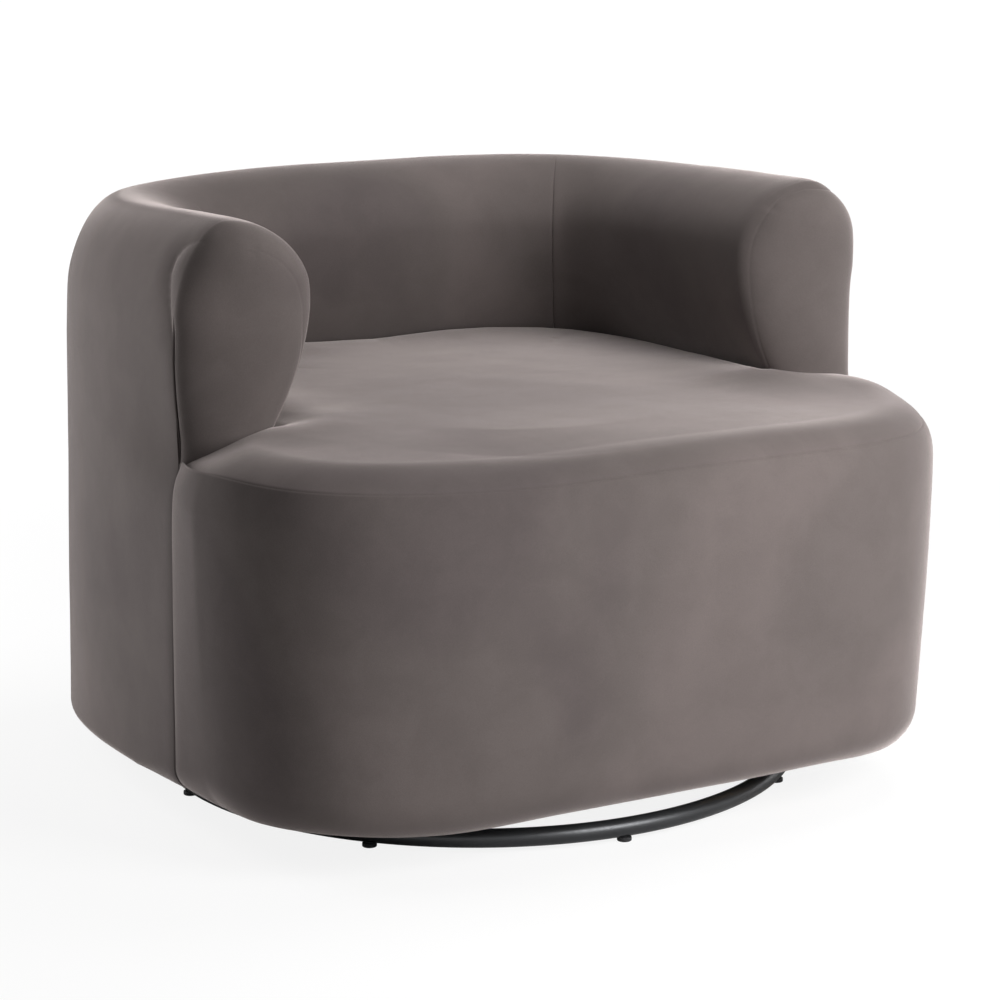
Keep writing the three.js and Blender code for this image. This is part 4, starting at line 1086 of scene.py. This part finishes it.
velvet = makeVelvet()
looks = {
    "velvet": velvet,
    "black_steel": makeMetal("blackSteel", linear(62, 63, 65), 0.36, 0.55, 260.0, 0.06, 0.04),
    "zinc_steel": makeMetal("zincSteel", linear(176, 178, 180), 0.34, 1.0),
    "spring_steel": makeMetal("springSteel", linear(96, 99, 103), 0.38, 1.0),
    "black_rubber": makeCloth("blackRubber", linear(30, 30, 32), linear(44, 44, 46), 420.0, 0.7),
    "plywood": makeWood("plywood", linear(168, 132, 88), linear(214, 182, 134), (1.0, 7.0, 14.0)),
    "hardboard": makeWood("hardboard", linear(104, 74, 48), linear(146, 108, 72),
                          (6.0, 6.0, 6.0), 30.0, 0.75),
    "felt": makeCloth("felt", linear(118, 118, 120), linear(152, 152, 154), 260.0),
    "black_cloth": makeCloth("dustCloth", linear(22, 22, 24), linear(38, 38, 40), 520.0),
    "nylon": makeCloth("nylon", linear(206, 206, 200), linear(224, 224, 218), 60.0, 0.45),
    "foam": makeCloth("foam", linear(214, 206, 180), linear(232, 225, 202), 300.0),
}
slotOf = {part["node"]: part["material_slot"] for part in frame["record"]["subparts"]}
for name, node in frame["nodes"].items():
    node.data.materials.clear()
    node.data.materials.append(looks[slotOf[name]])
for piece in [backPad, rightArmPad, leftArmPad, rightArmFront, leftArmFront, frontBorder, seatPad]:
    piece.data.materials.append(velvet)
ringTube.data.materials.append(looks["black_steel"])
for piece in glides:
    piece.data.materials.append(looks["black_rubber"])
print("materials made")

# floor and light
floorLook = {"size": 30.0, "level": -0.0002, "color": 0.86, "white": 1.03, "near": 0.84,
             "nearReach": 0.9, "farReach": 2.0}


def makeFloor():
    bpy.ops.object.select_all(action="DESELECT")
    bpy.ops.mesh.primitive_plane_add(size=floorLook["size"], location=(0, 0, floorLook["level"]))
    made = bpy.context.active_object
    made.name = made.data.name = "studioFloor"
    bpy.ops.object.transform_apply(location=True, rotation=True, scale=True)
    paint = bpy.data.materials.new("studioWhite")
    paint.use_nodes = True
    tree = paint.node_tree
    tree.nodes.clear()
    out = tree.nodes.new("ShaderNodeOutputMaterial")
    flat = tree.nodes.new("ShaderNodeBsdfDiffuse")
    flat.inputs["Color"].default_value = (floorLook["color"],) * 3 + (1,)
    glow = tree.nodes.new("ShaderNodeEmission")
    glow.inputs["Color"].default_value = (1, 1, 1, 1)
    glow.inputs["Strength"].default_value = floorLook["white"]
    place = tree.nodes.new("ShaderNodeTexCoord")
    far = tree.nodes.new("ShaderNodeVectorMath")
    far.operation = "LENGTH"
    tree.links.new(place.outputs["Object"], far.inputs[0])
    fade = tree.nodes.new("ShaderNodeMapRange")
    fade.interpolation_type = "SMOOTHSTEP"
    for socket, value in (("From Min", floorLook["nearReach"]), ("From Max", floorLook["farReach"]),
                          ("To Min", floorLook["near"]), ("To Max", 1.0)):
        fade.inputs[socket].default_value = value
    tree.links.new(far.outputs["Value"], fade.inputs["Value"])
    path = tree.nodes.new("ShaderNodeLightPath")
    share = tree.nodes.new("ShaderNodeMath")
    share.operation = "MULTIPLY"
    mix = tree.nodes.new("ShaderNodeMixShader")
    tree.links.new(path.outputs["Is Camera Ray"], share.inputs[0])
    tree.links.new(fade.outputs["Result"], share.inputs[1])
    tree.links.new(share.outputs[0], mix.inputs[0])
    tree.links.new(flat.outputs[0], mix.inputs[1])
    tree.links.new(glow.outputs[0], mix.inputs[2])
    tree.links.new(mix.outputs[0], out.inputs["Surface"])
    made.data.materials.append(paint)


makeFloor()

# each lamp stands at degrees round the chair from its front, degrees up and metres away
lampAim = (0, 0, 0.35)
lamps = {
    "keyLamp": {"turn": 20, "up": 18, "away": 1.7, "size": 0.8, "power": 26.0},
    "rightTopLamp": {"turn": 90, "up": 65, "away": 2.37, "size": 1.2, "power": 28.0},
    "rightLamp": {"turn": 95, "up": 12, "away": 2.6, "size": 1.2, "power": 26.0},
    "leftTopLamp": {"turn": -110, "up": 45, "away": 2.8, "size": 1.4, "power": 15.0},
    "leftBackLamp": {"turn": -142, "up": 4, "away": 1.8, "size": 1.0, "power": 15.0},
    "backTopLamp": {"turn": 180, "up": 68, "away": 2.42, "size": 1.4, "power": 4.5},
}


def makeLamp(name, look):
    light = bpy.data.lights.new(name, "AREA")
    light.shape = "SQUARE"
    light.size = look["size"]
    light.energy = look["power"]
    made = bpy.data.objects.new(name, light)
    scene.collection.objects.link(made)
    turn, up = math.radians(look["turn"]), math.radians(look["up"])
    back = Vector((math.sin(turn) * math.cos(up), -math.cos(turn) * math.cos(up), math.sin(up)))
    made.location = Vector(lampAim) + back * look["away"]
    made.rotation_euler = (-back).to_track_quat("-Z", "Y").to_euler()
    made.visible_camera = False


for name, look in lamps.items():
    makeLamp(name, look)

worldLook = {"fill": 0.04}


def makeWorld():
    world = bpy.data.worlds.new("studioWorld")
    scene.world = world
    world.use_nodes = True
    tree = world.node_tree
    tree.nodes.clear()
    out = tree.nodes.new("ShaderNodeOutputWorld")
    fill = tree.nodes.new("ShaderNodeBackground")
    fill.inputs["Strength"].default_value = worldLook["fill"]
    white = tree.nodes.new("ShaderNodeBackground")
    white.inputs["Color"].default_value = (1, 1, 1, 1)
    white.inputs["Strength"].default_value = 1.0
    path = tree.nodes.new("ShaderNodeLightPath")
    seen = tree.nodes.new("ShaderNodeMath")
    seen.operation = "MAXIMUM"
    through = tree.nodes.new("ShaderNodeMath")
    through.operation = "MAXIMUM"
    mix = tree.nodes.new("ShaderNodeMixShader")
    tree.links.new(path.outputs["Is Camera Ray"], seen.inputs[0])
    tree.links.new(path.outputs["Is Glossy Ray"], seen.inputs[1])
    tree.links.new(seen.outputs[0], through.inputs[0])
    tree.links.new(path.outputs["Is Transmission Ray"], through.inputs[1])
    tree.links.new(through.outputs[0], mix.inputs[0])
    tree.links.new(fill.outputs[0], mix.inputs[1])
    tree.links.new(white.outputs[0], mix.inputs[2])
    tree.links.new(mix.outputs[0], out.inputs["Surface"])


makeWorld()

# camera at the photograph's angle
eye = {"azimuth": -26.63, "elevation": 13.085, "distance": 4.2333, "right": 0.0284,
       "up": 0.3114, "lens": 123.05, "sensor": 36, "clipEnd": 100}


def makeCamera():
    a, e = math.radians(eye["azimuth"]), math.radians(eye["elevation"])
    back = Vector((math.sin(a) * math.cos(e), -math.cos(a) * math.cos(e), math.sin(e)))
    right = Vector((math.cos(a), math.sin(a), 0))
    up = back.cross(right)
    camera = bpy.data.objects.new("photoCamera", bpy.data.cameras.new("photoCamera"))
    scene.collection.objects.link(camera)
    camera.data.sensor_width = eye["sensor"]
    camera.data.lens = eye["lens"]
    camera.data.clip_end = eye["clipEnd"]
    camera.location = back * eye["distance"] + right * eye["right"] + up * eye["up"]
    camera.rotation_euler = (-back).to_track_quat("-Z", "Y").to_euler()
    scene.camera = camera


makeCamera()
scene.view_settings.view_transform = "Standard"
print("stage made")
